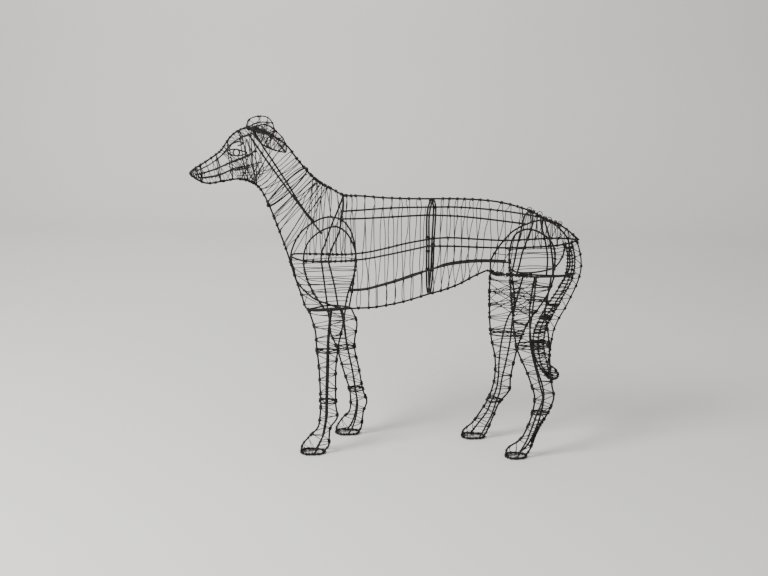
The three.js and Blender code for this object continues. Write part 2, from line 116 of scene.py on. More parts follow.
class Rod:
    # a bent bar: its line, its radius, and whether it closes on itself
    def __init__(self, points, radius, closed=False):
        self.line = smoothLine(points, closed)
        self.radius = radius
        self.closed = closed

    def direction(self, index):
        line = self.line
        if self.closed:
            return (line[(index + 1) % len(line)] - line[index - 1]).normalized()
        low = max(index - 1, 0)
        high = min(index + 1, len(line) - 1)
        return (line[high] - line[low]).normalized()

    # the place on the rod where one coordinate has a value (0 is X, 2 is Z)
    def at(self, axis, value):
        best = min(range(len(self.line)), key=lambda i: abs(self.line[i][axis] - value))
        low = max(best - 1, 0)
        high = min(best + 1, len(self.line) - 1)
        a, b = self.line[low], self.line[high]
        span = b[axis] - a[axis]
        share = 0.5 if abs(span) < 1e-6 else min(1.0, max(0.0, (value - a[axis]) / span))
        return a.lerp(b, share), self.direction(best)

    def share(self, share):
        position = share * (len(self.line) - 1)
        low = int(position)
        high = min(low + 1, len(self.line) - 1)
        return self.line[low].lerp(self.line[high], position - low), self.direction(low)


# Thickness of the stock, and how far the middles of two bars lie apart where one rests on the other
stock = {
    "barRadius": 2.5,
    "lightRadius": 1.7,
    "tailRadius": 2.0,
    "slingRadius": 2.3,
    "ringRadius": 1.4,
    "legRingRadius": 2.1,
    "wireRadius": 1.15,
    "fineWireRadius": 0.8,
    "heavyWireRadius": 1.5,
    "lap": 4.1,
    "lightLap": 4.6,
}
heights = {"spine": 695.0, "chest": 388.0, "crotch": 490.0}
tilts = {"chest": 10.0, "crotch": 10.0}

# The middle of the body, where the two halves meet
joint = {
    "x": 120.0,
    "pitch": 6.0,
    "skew": 0.17,
    "endGap": 0.4,
    "upper": (70.0, 662.0),
    "middle": (58.0, 577.0),
    "lower": (50.0, 510.0),
    "belly": 434.0,
    "rightLowerDrop": 18.0,
}

rods = {}
sides = (("left", -1), ("right", 1))


def onCentre(outline):
    return [(x, 0.0, z) for x, z in outline]


def onSide(points, side, drop=0.0):
    return [(x, side * halfWidth, z - drop) for x, halfWidth, z in points]


# A line drawn for the right side, bent round the middle into the same line on the left
def hairpin(points):
    return [(x, -y, z) for x, y, z in reversed(points) if y > 0] + list(points)


def jointEnd(y, z, frontHalf):
    middle = joint["x"] + joint["pitch"] / 2 + joint["skew"] * y
    return (middle + (-0.5 if frontHalf else 0.5) * joint["endGap"], y, z)


backAndBelly = {
    "toplineFront": [(-517, 744), (-522, 750), (-515, 759), (-505, 766), (-481, 781), (-451, 802),
                     (-437, 814), (-421, 838), (-403, 858), (-372, 873), (-330, 868), (-290, 848),
                     (-263, 828), (-234, 791), (-186, 740), (-138, 713), (-111, 700), (-70, 699),
                     (0, 695), (60, 694)],
    "toplineRear": [(180, 696), (240, 695), (300, 690), (354, 678), (392, 665), (430, 646),
                    (468, 631), (494, 614), (522, 591)],
    "underlineFront": [(-512, 740), (-498, 732), (-475, 725), (-436, 731), (-394, 738), (-360, 732),
                       (-338, 717), (-318, 684), (-282, 594), (-260, 532), (-246, 486), (-224, 423),
                       (-208, 385), (-150, 382), (-86, 389), (-24, 394), (50, 410)],
    "underlineRear": [(165, 447), (205, 464), (245, 487), (276, 502)],
}


def bendBackAndBelly():
    s = backAndBelly
    r = stock["barRadius"]
    spine = heights["spine"]
    belly = joint["belly"]
    rods["spine_front"] = [Rod(onCentre(s["toplineFront"]) + [jointEnd(0, spine, True)], r)]
    rods["spine_rear"] = [Rod([jointEnd(0, spine, False)] + onCentre(s["toplineRear"]), r)]
    rods["belly_front"] = [Rod(onCentre(s["underlineFront"]) + [jointEnd(0, belly, True)], r)]
    rods["belly_rear"] = [Rod([jointEnd(0, belly, False)] + onCentre(s["underlineRear"]), r)]


flankBars = {
    "upperFront": [(-122, 64, 646), (-60, 73, 650), (0, 77, 655), (60, 74, 659)],
    "upperRear": [(180, 78, 662), (240, 86, 659), (310, 92, 653), (370, 91, 646)],
    "rightUpperEnd": (433, 82, 637),
    "middleFront": [(-253, 0, 533), (-252, 13, 533), (-240, 31, 532), (-214, 48, 529), (-170, 50, 529),
                    (-110, 46, 530), (-50, 45, 537), (0, 48, 548), (60, 53, 563)],
    "middleRear": [(180, 63, 579), (250, 60, 577), (330, 54, 576), (400, 56, 580), (450, 54, 584),
                   (488, 36, 588), (509, 15, 590), (515, 0, 590)],
    "lowerFront": [(-96, 45, 449), (-51, 45, 453), (-11, 46, 464), (42, 48, 481), (82, 49, 496)],
    "lowerRear": [(165, 51, 525), (215, 53, 534), (265, 55, 538), (335, 56, 537)],
}


def bendFlankBars():
    s = flankBars
    r = stock["barRadius"]
    halfWidth, z = joint["middle"]
    for half, outline in (("front", s["middleFront"]), ("rear", s["middleRear"][::-1])):
        ends = [jointEnd(side * halfWidth, z, half == "front") for _, side in sides]
        rods["middle_bar_" + half] = [Rod([ends[0]] + hairpin(outline) + [ends[1]], r)]
    for sideName, side in sides:
        for level in ("upper", "lower"):
            drop = joint["rightLowerDrop"] if (level == "lower" and side > 0) else 0.0
            halfWidth, z = joint[level]
            front = onSide(s[level + "Front"], side, drop)
            rear = onSide(s[level + "Rear"], side, drop)
            if level == "upper" and side > 0:
                rear.append(s["rightUpperEnd"])
            front.append(jointEnd(side * halfWidth, z - drop, True))
            rear.insert(0, jointEnd(side * halfWidth, z - drop, False))
            rods[f"{level}_bar_front_{sideName}"] = [Rod(front, r)]
            rods[f"{level}_bar_rear_{sideName}"] = [Rod(rear, r)]


ribs = {
    "withersTop": (-114, 0, 695.9),
    "withersLeft": [(-111, 45, 675), (-115, 60, 648), (-121, 59, 610), (-142, 48, 560),
                    (-149, 44.6, 532), (-142, 46, 500), (-133, 48, 465), (-121, 50, 398)],
    "withersRight": [(-121, 45, 675), (-131, 59, 648), (-148, 58, 606), (-164, 48, 558),
                     (-174, 45, 527), (-170, 46, 485), (-164, 48, 440), (-156, 50, 380)],
    "hipFrontTop": (392, 0, 660.9),
    "hipFront": [(388, 45, 658), (383, 78, 640), (373, 68, 600), (364, 54, 562), (358, 49, 525)],
    "hipFrontFoot": (351, 53),
    "hipRearTop": (427, 0, 643.9),
    "hipRear": [(423, 45, 640), (429, 68, 617), (438, 56, 583), (445, 50, 550), (448, 49, 525)],
    "hipRearFoot": (448, 54),
}


def jointHoop(back):
    lap = stock["lap"]
    belly = joint["belly"]
    half = {}
    for side in (-1, 1):
        drop = joint["rightLowerDrop"] if side > 0 else 0.0
        upper, middle, lower = joint["upper"], joint["middle"], joint["lower"]
        half[side] = [
            (side * (upper[0] - 0.8 * lap), upper[1] - 0.6 * lap),
            (side * (middle[0] - lap), middle[1]),
            (side * (lower[0] - lap), lower[1] - drop),
            (side * 0.52 * lower[0], belly + 0.3 * (lower[1] - belly)),
        ]
    section = [(0, heights["spine"] - lap)] + half[1] + [(0, belly + lap)] + half[-1][::-1]
    return [(joint["x"] + back + joint["skew"] * y, y, z) for y, z in section]


def ribOver(top, leftSide, rightSide):
    return onSide(leftSide, -1)[::-1] + [top] + onSide(rightSide, 1)


def bendHoops():
    r = stock["barRadius"]
    lap = stock["lap"]
    rods["joint_hoop_front"] = [Rod(jointHoop(0.0), r, True)]
    rods["joint_hoop_rear"] = [Rod(jointHoop(joint["pitch"]), r, True)]
    z = heights["chest"]
    high = z + tilts["chest"] + lap
    low = z - tilts["chest"] + lap
    chest = [(-207, 0, z - 4), (-200, -48, high - 8), (-150, -60, high), (-104, -50, high),
             (-95, 0, z + 1 + lap), (-104, 48, low), (-150, 58, low), (-200, 48, low - 8)]
    rods["chest_hoop"] = [Rod(chest, r, True)]
    z = heights["crotch"]
    tilt = tilts["crotch"]
    crotch = [(282, 0, z + 12), (310, -42, z + tilt + 3), (394, -60, z + tilt), (482, -46, z + tilt + 1),
              (516, 0, z + 8), (482, 46, z - tilt + 2), (394, 60, z - tilt), (310, 42, z - tilt + 3)]
    rods["crotch_hoop"] = [Rod(crotch, r, True)]
    rods["withers_rib"] = [Rod(ribOver(ribs["withersTop"], ribs["withersLeft"], ribs["withersRight"]), r)]
    for name in ("front", "rear"):
        key = "hip" + name.capitalize()
        x, width = ribs[key + "Foot"]
        left, right = (ribs[key] + [(x, width, z - side * tilt)] for side in (-1, 1))
        rods["hip_hoop_" + name] = [Rod(ribOver(ribs[key + "Top"], left, right), r)]


arches = {
    "shoulder_arch_left": (-1, [(-160, 57, 402), (-187, 57, 443), (-207, 57, 487), (-215, 54, 535),
                                (-203, 60, 580), (-168, 69, 614), (-128, 73, 627), (-100, 66, 608),
                                (-79, 52, 562), (-76, 49.5, 533), (-82, 50, 490), (-97, 52, 440),
                                (-104, 55, 400)]),
    "shoulder_arch_right": (1, [(-117, 57, 372), (-152, 57, 385), (-196, 57, 402), (-240, 56, 447),
                                (-252, 40, 495), (-256, 24.5, 529), (-236, 52, 580), (-199, 67, 613),
                                (-158, 73, 628), (-120, 67, 622), (-97, 60, 598), (-84, 52, 562),
                                (-80, 49.5, 533), (-84, 50, 460), (-96, 55, 378)]),
    "thigh_arch_left": (-1, [(337, 49, 497), (330, 60.3, 537), (331, 58.3, 576), (341, 68, 613),
                             (364, 74, 629), (390, 74, 628), (425, 70, 609), (444, 61, 585),
                             (451, 58, 552), (449, 54, 508), (447, 55, 500)]),
    "thigh_arch_right": (1, [(292, 48, 489), (294, 59.4, 519), (310, 58, 552), (331, 59, 580),
                             (352, 67, 600), (386, 73, 618), (425, 74, 630), (456, 65, 626),
                             (483, 52, 606), (499, 35, 584), (505, 40, 546), (509, 44, 512),
                             (502, 50, 482), (482, 54, 446)]),
}
thighSling = [(335, 66, 521), (347, 66, 514), (377, 66, 512), (421, 66, 518), (451, 65, 529),
              (471, 56, 557), (477, 48, 582)]
neckBars = {
    "left": [(-362, 31, 862), (-335, 37, 824), (-308, 43, 787), (-275, 50, 744), (-235, 58, 692),
             (-195, 65, 642), (-166, 65, 606)],
    "right": [(-353, 27, 862), (-330, 33, 821), (-301, 41, 776), (-268, 51, 723), (-238, 58, 672),
              (-214, 62, 638), (-192, 62, 614)],
}


def bendArchesAndNeck():
    r = stock["barRadius"]
    for name, (side, outline) in arches.items():
        rods[name] = [Rod(onSide(outline, side), r)]
    rods["thigh_sling_left"] = [Rod(onSide(thighSling, -1), stock["slingRadius"])]
    for sideName, side in sides:
        rods["neck_bar_" + sideName] = [Rod(onSide(neckBars[sideName], side), r)]


head = {
    "brow": [(-507, 0, 757), (-503, 7, 758), (-470, 9.5, 774), (-434, 16, 802), (-408, 22, 832),
             (-380, 27, 850), (-352, 32, 857)],
    "cheek": [(-507, 0, 748), (-501, 8, 748), (-456, 15, 762), (-416, 23, 780), (-386, 31, 792),
              (-352, 37, 808)],
    "mouth": [(-498, 0, 740), (-490, 9, 739), (-445, 15, 747), (-410, 22, 762), (-376, 30, 769),
              (-334, 38, 780)],
    "rings": [((-494, 773), (-488, 729)), ((-450, 803), (-440, 730)), ((-420, 839), (-408, 736)),
              ((-386, 867), (-368, 733)), ((-356, 872), (-345, 722))],
    "leftEar": [(-350, -24, 872), (-318, -40, 886), (-290, -47, 872), (-266, -50, 846),
                (-262, -50, 818), (-290, -52, 822), (-325, -48, 838)],
    "rightEar": [(-372, 24, 872), (-366, 34, 893), (-345, 40, 901), (-320, 42, 899),
                 (-306, 42, 884), (-303, 44, 864), (-332, 46, 857)],
}


# Where a side bar of the head crosses the slanted plane of a ring
def crossing(outline, top, bottom):
    slant = (bottom[0] - top[0]) / (bottom[1] - top[1])

    def behind(point):
        return point[0] - top[0] - slant * (point[2] - top[1])

    found = [i for i, point in enumerate(outline) if behind(point) > 0 and i > 0]
    later = found[0] if found else len(outline) - 1
    a, b = Vector(outline[later - 1]), Vector(outline[later])
    return a.lerp(b, behind(a) / (behind(a) - behind(b)))


def headRing(top, bottom):
    lap = stock["lightLap"]
    right = []
    for level, rise in (("brow", -0.5), ("cheek", 0.0), ("mouth", 0.5)):
        x, halfWidth, z = crossing(head[level], top, bottom)
        right.append((x, halfWidth - lap, z + rise * lap))
    left = [(x, -y, z) for x, y, z in reversed(right)]
    return [(top[0], 0, top[1] - lap - 1)] + right + [(bottom[0], 0, bottom[1] + lap + 1)] + left


def bendHead():
    r = stock["lightRadius"]
    for level in ("brow", "cheek", "mouth"):
        rods[level + "_bar"] = [Rod(hairpin(head[level]), r)]
    for number, (top, bottom) in enumerate(head["rings"], 1):
        rods[f"head_ring_{number}"] = [Rod(headRing(top, bottom), stock["ringRadius"], True)]
    for node, outline in (("ear_left", head["leftEar"]), ("ear_right", head["rightEar"])):
        root, rib, tip = outline[0], outline[2], outline[4]
        middle = tuple((a + b + c) / 3 for a, b, c in zip(root, rib, tip))
        rods[node] = [Rod(outline, r, True), Rod([root, middle, tip], r)]


# Legs from the top down: height, x of the front, rear, outer and inner bars, half depth
legs = {
    "left_front": {
        "side": -1, "hip": 52, "foot": 82, "sole": (-219, -154), "rings": (284, 145),
        "rows": [(402, -203, -102, -142, -139, 4), (340, -183, -112, -147, -145, 17),
                 (300, -179, -120, -149, -147, 17), (240, -172, -126, -150, -147, 16),
                 (180, -168, -126, -151, -148, 15), (135, -166, -125, -151, -149, 15),
                 (100, -168, -121, -152, -149, 15), (72, -173, -139, -156, -153, 14),
                 (47, -195, -142, -161, -158, 16), (22, -215, -143, -172, -169, 19)],
    },
    "right_front": {
        "side": 1, "hip": 52, "foot": 74, "sole": (-131, -64), "rings": (262, 136),
        "rows": [(378, -157, -91, -122, -116, 4), (334, -150, -74, -113, -108, 17),
                 (300, -146, -78, -108, -104, 17), (262, -130, -80, -102, -98, 17),
                 (195, -111, -66, -87, -84, 15), (132, -92, -54, -77, -74, 15),
                 (100, -89, -43, -72, -69, 15), (70, -92, -52, -74, -71, 14),
                 (45, -113, -55, -79, -76, 16), (20, -128, -58, -88, -85, 19)],
    },
    "left_hind": {
        "side": -1, "hip": 60, "foot": 84, "sole": (340, 398), "rings": (315, 125),
        "rows": [(498, 334, 443, 403, 400, 4), (440, 340, 436, 398, 395, 16),
                 (400, 345, 432, 395, 393, 18), (345, 352, 443, 391, 397, 18),
                 (300, 362, 448, 398, 404, 18), (237, 391, 454, 416, 422, 16),
                 (200, 405, 460, 427, 435, 15), (170, 414, 466, 434, 441, 14),
                 (125, 410, 451, 420, 436, 12), (80, 396, 426, 406, 424, 12),
                 (50, 380, 415, 395, 413, 14), (24, 346, 408, 380, 400, 18)],
    },
    "right_hind": {
        "side": 1, "hip": 60, "foot": 62, "sole": (230, 296), "rings": (308, 113),
        "rows": [(481, 293, 472, 387, 352, 4), (430, 293, 457, 377, 360, 16),
                 (385, 295, 432, 367, 362, 18), (350, 297, 408, 350, 358, 18),
                 (295, 304, 386, 337, 355, 17), (237, 317, 372, 331, 347, 16),
                 (180, 318, 363, 330, 337, 14), (143, 311, 361, 326, 333, 13),
                 (105, 297, 334, 313, 322, 12), (70, 277, 321, 300, 312, 13),
                 (45, 261, 312, 284, 300, 15), (20, 235, 303, 268, 288, 18)],
    },
}
# The loop under a paw, and where the bars of the leg end on it
paw = {"barTop": 5.7, "height": 4.2, "halfDepth": 21.0, "spreadTop": 400.0,
       "toeRound": 14.0, "heelRound": 10.0, "inset": 6.0, "back": 9.0}


def legY(leg, z):
    out = min(1.0, max(0.0, 1 - z / paw["spreadTop"]))
    return leg["side"] * (leg["hip"] + (leg["foot"] - leg["hip"]) * out)


def soleLoop(leg):
    front, rear = leg["sole"]
    y = leg["side"] * leg["foot"]
    deep = paw["halfDepth"]
    z = paw["height"]
    toe, heel, middle = front + paw["toeRound"], rear - paw["heelRound"], (front + rear) / 2
    return [(front, y, z), (toe, y - deep, z), (middle, y - deep, z), (heel, y - 0.8 * deep, z),
            (rear, y, z), (heel, y + 0.8 * deep, z), (middle, y + deep, z), (toe, y + deep, z)]


# The row of a leg at any height, between the two rows above and below it
def rowAt(rows, z):
    below = next(i for i, row in enumerate(rows) if row[0] <= z)
    high, low = rows[below - 1], rows[below]
    share = (z - low[0]) / (high[0] - low[0])
    return [a + (b - a) * share for a, b in zip(low, high)]


def legRing(leg, height):
    z, front, rear, outer, _, deep = rowAt(leg["rows"], height)
    out = stock["lap"]
    y = legY(leg, z)
    before, behind = (front + outer) / 2, (rear + outer) / 2
    corner = 0.8 * deep + out
    return [(front - out, y, z), (before, y - corner, z), (outer, y - deep - out, z),
            (behind, y - corner, z), (rear + out, y, z), (behind, y + corner, z),
            (outer, y + deep + out, z), (before, y + corner, z)]


def bendLeg(name, leg):
    r = stock["barRadius"]
    rows = leg["rows"]
    side = leg["side"]
    footY = side * leg["foot"]
    soleFront, soleRear = leg["sole"]
    top = paw["barTop"]

    def line(column, outward):
        return [(row[column], legY(leg, row[0]) + outward * row[5], row[0]) for row in rows]

    def soleX(column):
        inset = paw["inset"]
        return min(soleRear - inset, max(soleFront + inset, rows[-1][column])) - paw["back"]

    front = line(1, 0) + [(soleFront + 1, footY, top)]
    rear = line(2, 0) + [(soleRear - 1, footY, top)]
    outer = line(3, side) + [(soleX(3), footY + side * paw["halfDepth"], top)]
    inner = line(4, -side) + [(soleX(4), footY - side * paw["halfDepth"], top - 1)]
    rings = [Rod(legRing(leg, z), stock["legRingRadius"], True) for z in leg["rings"]]
    rods[f"{name}_paw_loop"] = [Rod(soleLoop(leg), r, True)]
    rods[f"{name}_leg_front_bar"] = [Rod(front, r)]
    rods[f"{name}_leg_rear_bar"] = [Rod(rear, r)]
    rods[f"{name}_leg_outer_bar"] = [Rod(outer, r)]
    rods[f"{name}_leg_inner_bar_and_rings"] = [Rod(inner, r)] + rings


# Tail from the root down: height, x of its rear, front, left and right bars, half depth
tail = {
    "rows": [(585, 518, 486, 493, 502, 7), (548, 529, 494, 504, 514, 9), (510, 532, 494, 505, 516, 11),
             (475, 525, 484, 495, 510, 12), (438, 511, 464, 477, 493, 13),
             (405, 497, 444, 458, 478, 13), (370, 479, 428, 438, 460, 13),
             (335, 467, 415, 427, 447, 13), (302, 463, 413, 425, 444, 12),
             (270, 460, 418, 430, 448, 12), (240, 461, 430, 438, 456, 10)],
    "tip": [(476, 228), (486, 214), (485, 203), (468, 198), (449, 214)],
    "flankTip": (462, 0, 210),
}


def bendTail():
    r = stock["tailRadius"]
    rows = tail["rows"]
    rear = [(row[1], 0, row[0]) for row in rows]
    front = [(row[2], 0, row[0]) for row in rows]
    left = [(row[3], -row[5], row[0]) for row in rows]
    right = [(row[4], row[5], row[0]) for row in rows]
    rods["tail_outer_bar"] = [Rod(rear + onCentre(tail["tip"]) + front[::-1], r)]
    rods["tail_flank_bar"] = [Rod(left + [tail["flankTip"]] + right[::-1], r)]


bendBackAndBelly()
bendFlankBars()
bendHoops()
bendArchesAndNeck()
bendHead()
for legName, legShape in legs.items():
    bendLeg(legName, legShape)
bendTail()
print("bars bent:", len(rods))


# Materials
class Wire:
    # one socket of a node tree, so that shader sums read as plain sums
    def __init__(self, tree, socket):
        self.tree = tree
        self.socket = socket

    def maths(self, operation, other, swap=False):
        node = self.tree.nodes.new("ShaderNodeMath")
        node.operation = operation
        first, second = (1, 0) if swap else (0, 1)
        self.tree.links.new(self.socket, node.inputs[first])
        if isinstance(other, Wire):
            self.tree.links.new(other.socket, node.inputs[second])
        else:
            node.inputs[second].default_value = other
        return Wire(self.tree, node.outputs[0])

    def __add__(self, other):
        return self.maths("ADD", other)

    __radd__ = __add__

    def __mul__(self, other):
        return self.maths("MULTIPLY", other)

    __rmul__ = __mul__

    def __sub__(self, other):
        return self.maths("SUBTRACT", other)

    def __rsub__(self, other):
        return self.maths("SUBTRACT", other, swap=True)


class Shader:
    def __init__(self, name):
        self.material = bpy.data.materials.new(name)
        self.material.use_nodes = True
        self.tree = self.material.node_tree
        self.surface = self.tree.nodes["Principled BSDF"]

    # any node: its settings first, then the values or links of its inputs
    def node(self, kind, settings=None, output=0, **inputs):
        node = self.tree.nodes.new(kind)
        for name, value in (settings or {}).items():
            if name == "stops":
                ramp = node.color_ramp
                while len(ramp.elements) < len(value):
                    ramp.elements.new(0.5)
                for element, (position, colour) in zip(ramp.elements, value):
                    element.position = position
                    element.color = (*colour, 1.0)
            else:
                setattr(node, name, value)
        for name, value in inputs.items():
            self.feed(node.inputs[name.replace("_", " ")], value)
        return Wire(self.tree, node.outputs[output])

    def feed(self, socket, value):
        if isinstance(value, Wire):
            self.tree.links.new(value.socket, socket)
        else:
            socket.default_value = value

    def set(self, **inputs):
        for name, value in inputs.items():
            self.feed(self.surface.inputs[name.replace("_", " ")], value)


def oxidisedSteel(name, finish):
    shader = Shader(name)
    place = shader.node("ShaderNodeTexCoord", output=3)
    patches = shader.node("ShaderNodeTexNoise", Vector=place, Scale=finish["patchScale"],
                          Detail=4.0, Roughness=0.6)
    grain = shader.node("ShaderNodeTexNoise", Vector=place, Scale=finish["grainScale"],
                        Detail=6.0, Roughness=0.7)
    mixed = patches * 0.7 + grain * 0.3
    colour = shader.node("ShaderNodeValToRGB", {"stops": finish["colours"]}, Fac=mixed)
    bump = shader.node("ShaderNodeBump", Height=grain, Strength=finish["bump"], Distance=0.0006)
    shader.set(Base_Color=colour, Metallic=finish["metal"], Specular_IOR_Level=finish["shine"],
               Roughness=patches * finish["roughnessSpread"] + finish["roughness"], Normal=bump)
    return shader.material


finishes = {
    "bar": {"patchScale": 34.0, "grainScale": 420.0, "bump": 0.35, "metal": 0.3,
            "roughness": 0.52, "roughnessSpread": 0.25, "shine": 0.28,
            "colours": [(0.3, (0.007, 0.006, 0.006)), (0.52, (0.013, 0.011, 0.010)),
                        (0.74, (0.036, 0.021, 0.013))]},
    "wire": {"patchScale": 60.0, "grainScale": 700.0, "bump": 0.25, "metal": 0.3,
             "roughness": 0.52, "roughnessSpread": 0.22, "shine": 0.26,
             "colours": [(0.3, (0.008, 0.007, 0.006)), (0.55, (0.016, 0.013, 0.011)),
                         (0.76, (0.040, 0.025, 0.017))]},
    "weld": {"patchScale": 120.0, "grainScale": 900.0, "bump": 0.6, "metal": 0.25,
             "roughness": 0.55, "roughnessSpread": 0.3, "shine": 0.25,
             "colours": [(0.3, (0.006, 0.006, 0.006)), (0.55, (0.014, 0.012, 0.010)),
                         (0.75, (0.045, 0.025, 0.015))]},
}
barSteel = oxidisedSteel("oxidised_bar", finishes["bar"])
wireSteel = oxidisedSteel("oxidised_wire", finishes["wire"])
weldSteel = oxidisedSteel("weld_metal", finishes["weld"])
print("materials made")


# Turning lines into round stock: roundness is how finely the round of a bar or a wire is drawn
roundness = {"bar": 3, "wire": 1}


def sweep(name, lines, material, kind):
    curve = bpy.data.curves.new(name, "CURVE")
    curve.dimensions = "3D"
    curve.bevel_depth = 1.0
    curve.bevel_resolution = roundness[kind]
    curve.use_fill_caps = True
    for line, radius, closed in lines:
        spline = curve.splines.new("POLY")
        spline.points.add(len(line) - 1)
        for point, place in zip(spline.points, line):
            point.co = (*toFrame(place), 1.0)
            point.radius = radius * millimetre
        spline.use_cyclic_u = closed
        spline.use_smooth = True
    holder = bpy.data.objects.new(name + "_curve", curve)
    bpy.context.scene.collection.objects.link(holder)
    graph = bpy.context.evaluated_depsgraph_get()
    mesh = bpy.data.meshes.new_from_object(holder.evaluated_get(graph))
    mesh.name = name
    bpy.data.objects.remove(holder)
    bpy.data.curves.remove(curve)
    mesh.materials.clear()
    mesh.materials.append(material)
    piece = bpy.data.objects.new(name, mesh)
    bpy.context.scene.collection.objects.link(piece)
    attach(piece, "root")
    return piece


lightNodes = {"brow_bar", "cheek_bar", "mouth_bar", "ear_left", "ear_right", "tail_outer_bar",
              "tail_flank_bar", "thigh_sling_left"}
lightNodes |= {f"head_ring_{number}" for number in range(1, len(head["rings"]) + 1)}


def makeBars():
    for node, bars in rods.items():
        lines = [(rod.line, rod.radius, rod.closed) for rod in bars]
        piece = sweep(node + "_bars", lines, barSteel, "bar")
        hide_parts(node)
        "light_bar" if node in lightNodes else "frame_bar"


makeBars()
print("bars made")


# Weld beads where two bars come within reach of each other
welds = {"reach": 6.6, "spread": 16.0, "size": 3.0, "jointSize": 4.4, "lumps": 0.45,
         "sizeRange": (0.8, 1.2), "longRange": (0.8, 1.3)}


def weldPlaces():
    bars = [(node, rod) for node, group in rods.items() for rod in group]
    onHoop = [node.startswith("joint_hoop") for node, _ in bars]
    points = [(place, index) for index, (_, rod) in enumerate(bars) for place in rod.line]
    tree = kdtree.KDTree(len(points))
    for number, (place, _) in enumerate(points):
        tree.insert(place, number)
    tree.balance()
    found = []
    for place, index in points:
        for other, number, distance in tree.find_range(place, welds["reach"]):
            otherIndex = points[number][1]
            # the two hoops at mid-body lie side by side and are tied, not welded, to each other
            hoops = onHoop[index] + onHoop[otherIndex]
            if otherIndex > index and hoops < 2:
                found.append((distance, (place + other) / 2, hoops == 1))
    found.sort(key=lambda item: item[0])
    kept = []
    for _, place, onJoint in found:
        if all((place - other).length > welds["spread"] for other, _ in kept):
            kept.append((place, welds["jointSize"] if onJoint else welds["size"]))
    return kept


def makeWelds(places):
    rng = random.Random(11)
    mesh = bpy.data.meshes.new("weld_beads")
    form = bmesh.new()
    for place, size in places:
        size *= rng.uniform(*welds["sizeRange"])
        long = rng.uniform(*welds["longRange"])
        wide = rng.uniform(*welds["sizeRange"])
        deep = rng.uniform(*welds["sizeRange"])
        stretch = Matrix.Diagonal((long, wide, deep, 1))
        turn = Matrix.Rotation(rng.uniform(0, math.pi), 4, "Z")
        made = bmesh.ops.create_icosphere(
            form, subdivisions=2, radius=size * millimetre,
            matrix=Matrix.Translation(toFrame(place)) @ turn @ stretch)
        for vertex in made["verts"]:
            shift = Vector([rng.uniform(-1, 1) for _ in range(3)])
            vertex.co += shift * welds["lumps"] * millimetre
    for face in form.faces:
        face.smooth = True
    form.to_mesh(mesh)
    form.free()
    mesh.materials.append(weldSteel)
    piece = bpy.data.objects.new("weld_beads", mesh)
    bpy.context.scene.collection.objects.link(piece)
    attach(piece, "root")


beadPlaces = weldPlaces()
makeWelds(beadPlaces)
print("welds made:", len(beadPlaces))


# Binding wire: pulled taut from bar to bar, bent over each bar or looped round it
binding = {
    "bow": 1.5,            # how far a free length of wire strays from straight
    "bowLength": 60.0,     # for a length of this much, less when shorter
    "mostBow": 1.6,
    "tightBow": 0.2,       # the same for a wire that is pulled hard
    "overAngle": 38.0,     # degrees, half the bend over a bar
    "loopStep": 42.0,
    "loopAdvance": 2.2,    # how far one loop lies beside the next
    "wrapPitch": 1.7,
    "wrapSlack": 0.35,
    "wrapShake": 0.15,
    "miss": 12.0,          # a wire that passes a bar by more than this isn't bent over it
}


class Binding:
    def __init__(self, name, seed):
        self.name = name
        self.rng = random.Random(seed)
        self.lines = []

    def shaken(self, value, much=2.0):
        return value + self.rng.uniform(-much, much)

    def bend(self, here, before, after, radius):
        place, direction, barRadius, loops = here
        reach = barRadius + radius
        toBefore = before - place
        toAfter = after - place
        toBefore = (toBefore - direction * toBefore.dot(direction)).normalized()
        toAfter = (toAfter - direction * toAfter.dot(direction)).normalized()
        outward = -(toBefore + toAfter)
        if outward.length < 0.05:
            outward = direction.cross(toAfter)
        outward.normalize()
        across = direction.cross(outward)
        if across.dot(toAfter - toBefore) < 0:
            across = -across
        first = -binding["overAngle"]
        last = binding["overAngle"] + 360 * loops
        count = max(2, round((last - first) / binding["loopStep"]))
        drift = binding["loopAdvance"] * loops
        points = []
        for k in range(count + 1):
            share = k / count
            angle = math.radians(first + (last - first) * share)
            points.append(place + (outward * math.cos(angle) + across * math.sin(angle)) * reach
                          + direction * drift * (share - 0.5))
        return points

    # a taut wire through contacts of (place, direction of the bar, its radius, loops round it)
    def run(self, contacts, radius=None, bow=None):
        radius = radius or stock["wireRadius"]
        bow = bow or binding["bow"]
        line = []
        for i, here in enumerate(contacts):
            before = contacts[i - 1][0] if i else contacts[1][0]
            after = contacts[i + 1][0] if i + 1 < len(contacts) else contacts[i - 1][0]
            bent = self.bend(here, before, after, radius)
            if line:
                start = line[-1]
                slack = bow * min(binding["mostBow"], (bent[0] - start).length / binding["bowLength"])
                sag = Vector([self.rng.gauss(0, slack) for _ in range(3)])
                for share, much in ((0.25, 0.75), (0.5, 1.0), (0.75, 0.75)):
                    line.append(start.lerp(bent[0], share) + sag * much)
            line.extend(bent)
        self.lines.append((line, radius, False))

    # a few turns round one bar, or round two that stand close together
    def wrap(self, middle, direction, reach, turns, pitch=binding["wrapPitch"], radius=None):
        radius = radius or stock["wireRadius"]
        direction = direction.normalized()
        first = direction.orthogonal().normalized()
        second = direction.cross(first)
        count = int(turns * 10)
        line = []
        for k in range(count + 1):
            angle = 2 * math.pi * turns * k / count
            out = reach + radius + self.rng.uniform(0, binding["wrapSlack"])
            along = self.shaken(pitch * (turns * k / count - turns / 2), binding["wrapShake"])
            line.append(middle + first * math.cos(angle) * out + second * math.sin(angle) * out
                        + direction * along)
        self.lines.append((line, radius, False))

    def make(self):
        piece = sweep(self.name, self.lines, wireSteel, "wire")


# The bar of a node, or the first of its bars
def only(node):
    return rods[node][0]


def circle(count):
    return [2 * math.pi * k / count for k in range(count)]


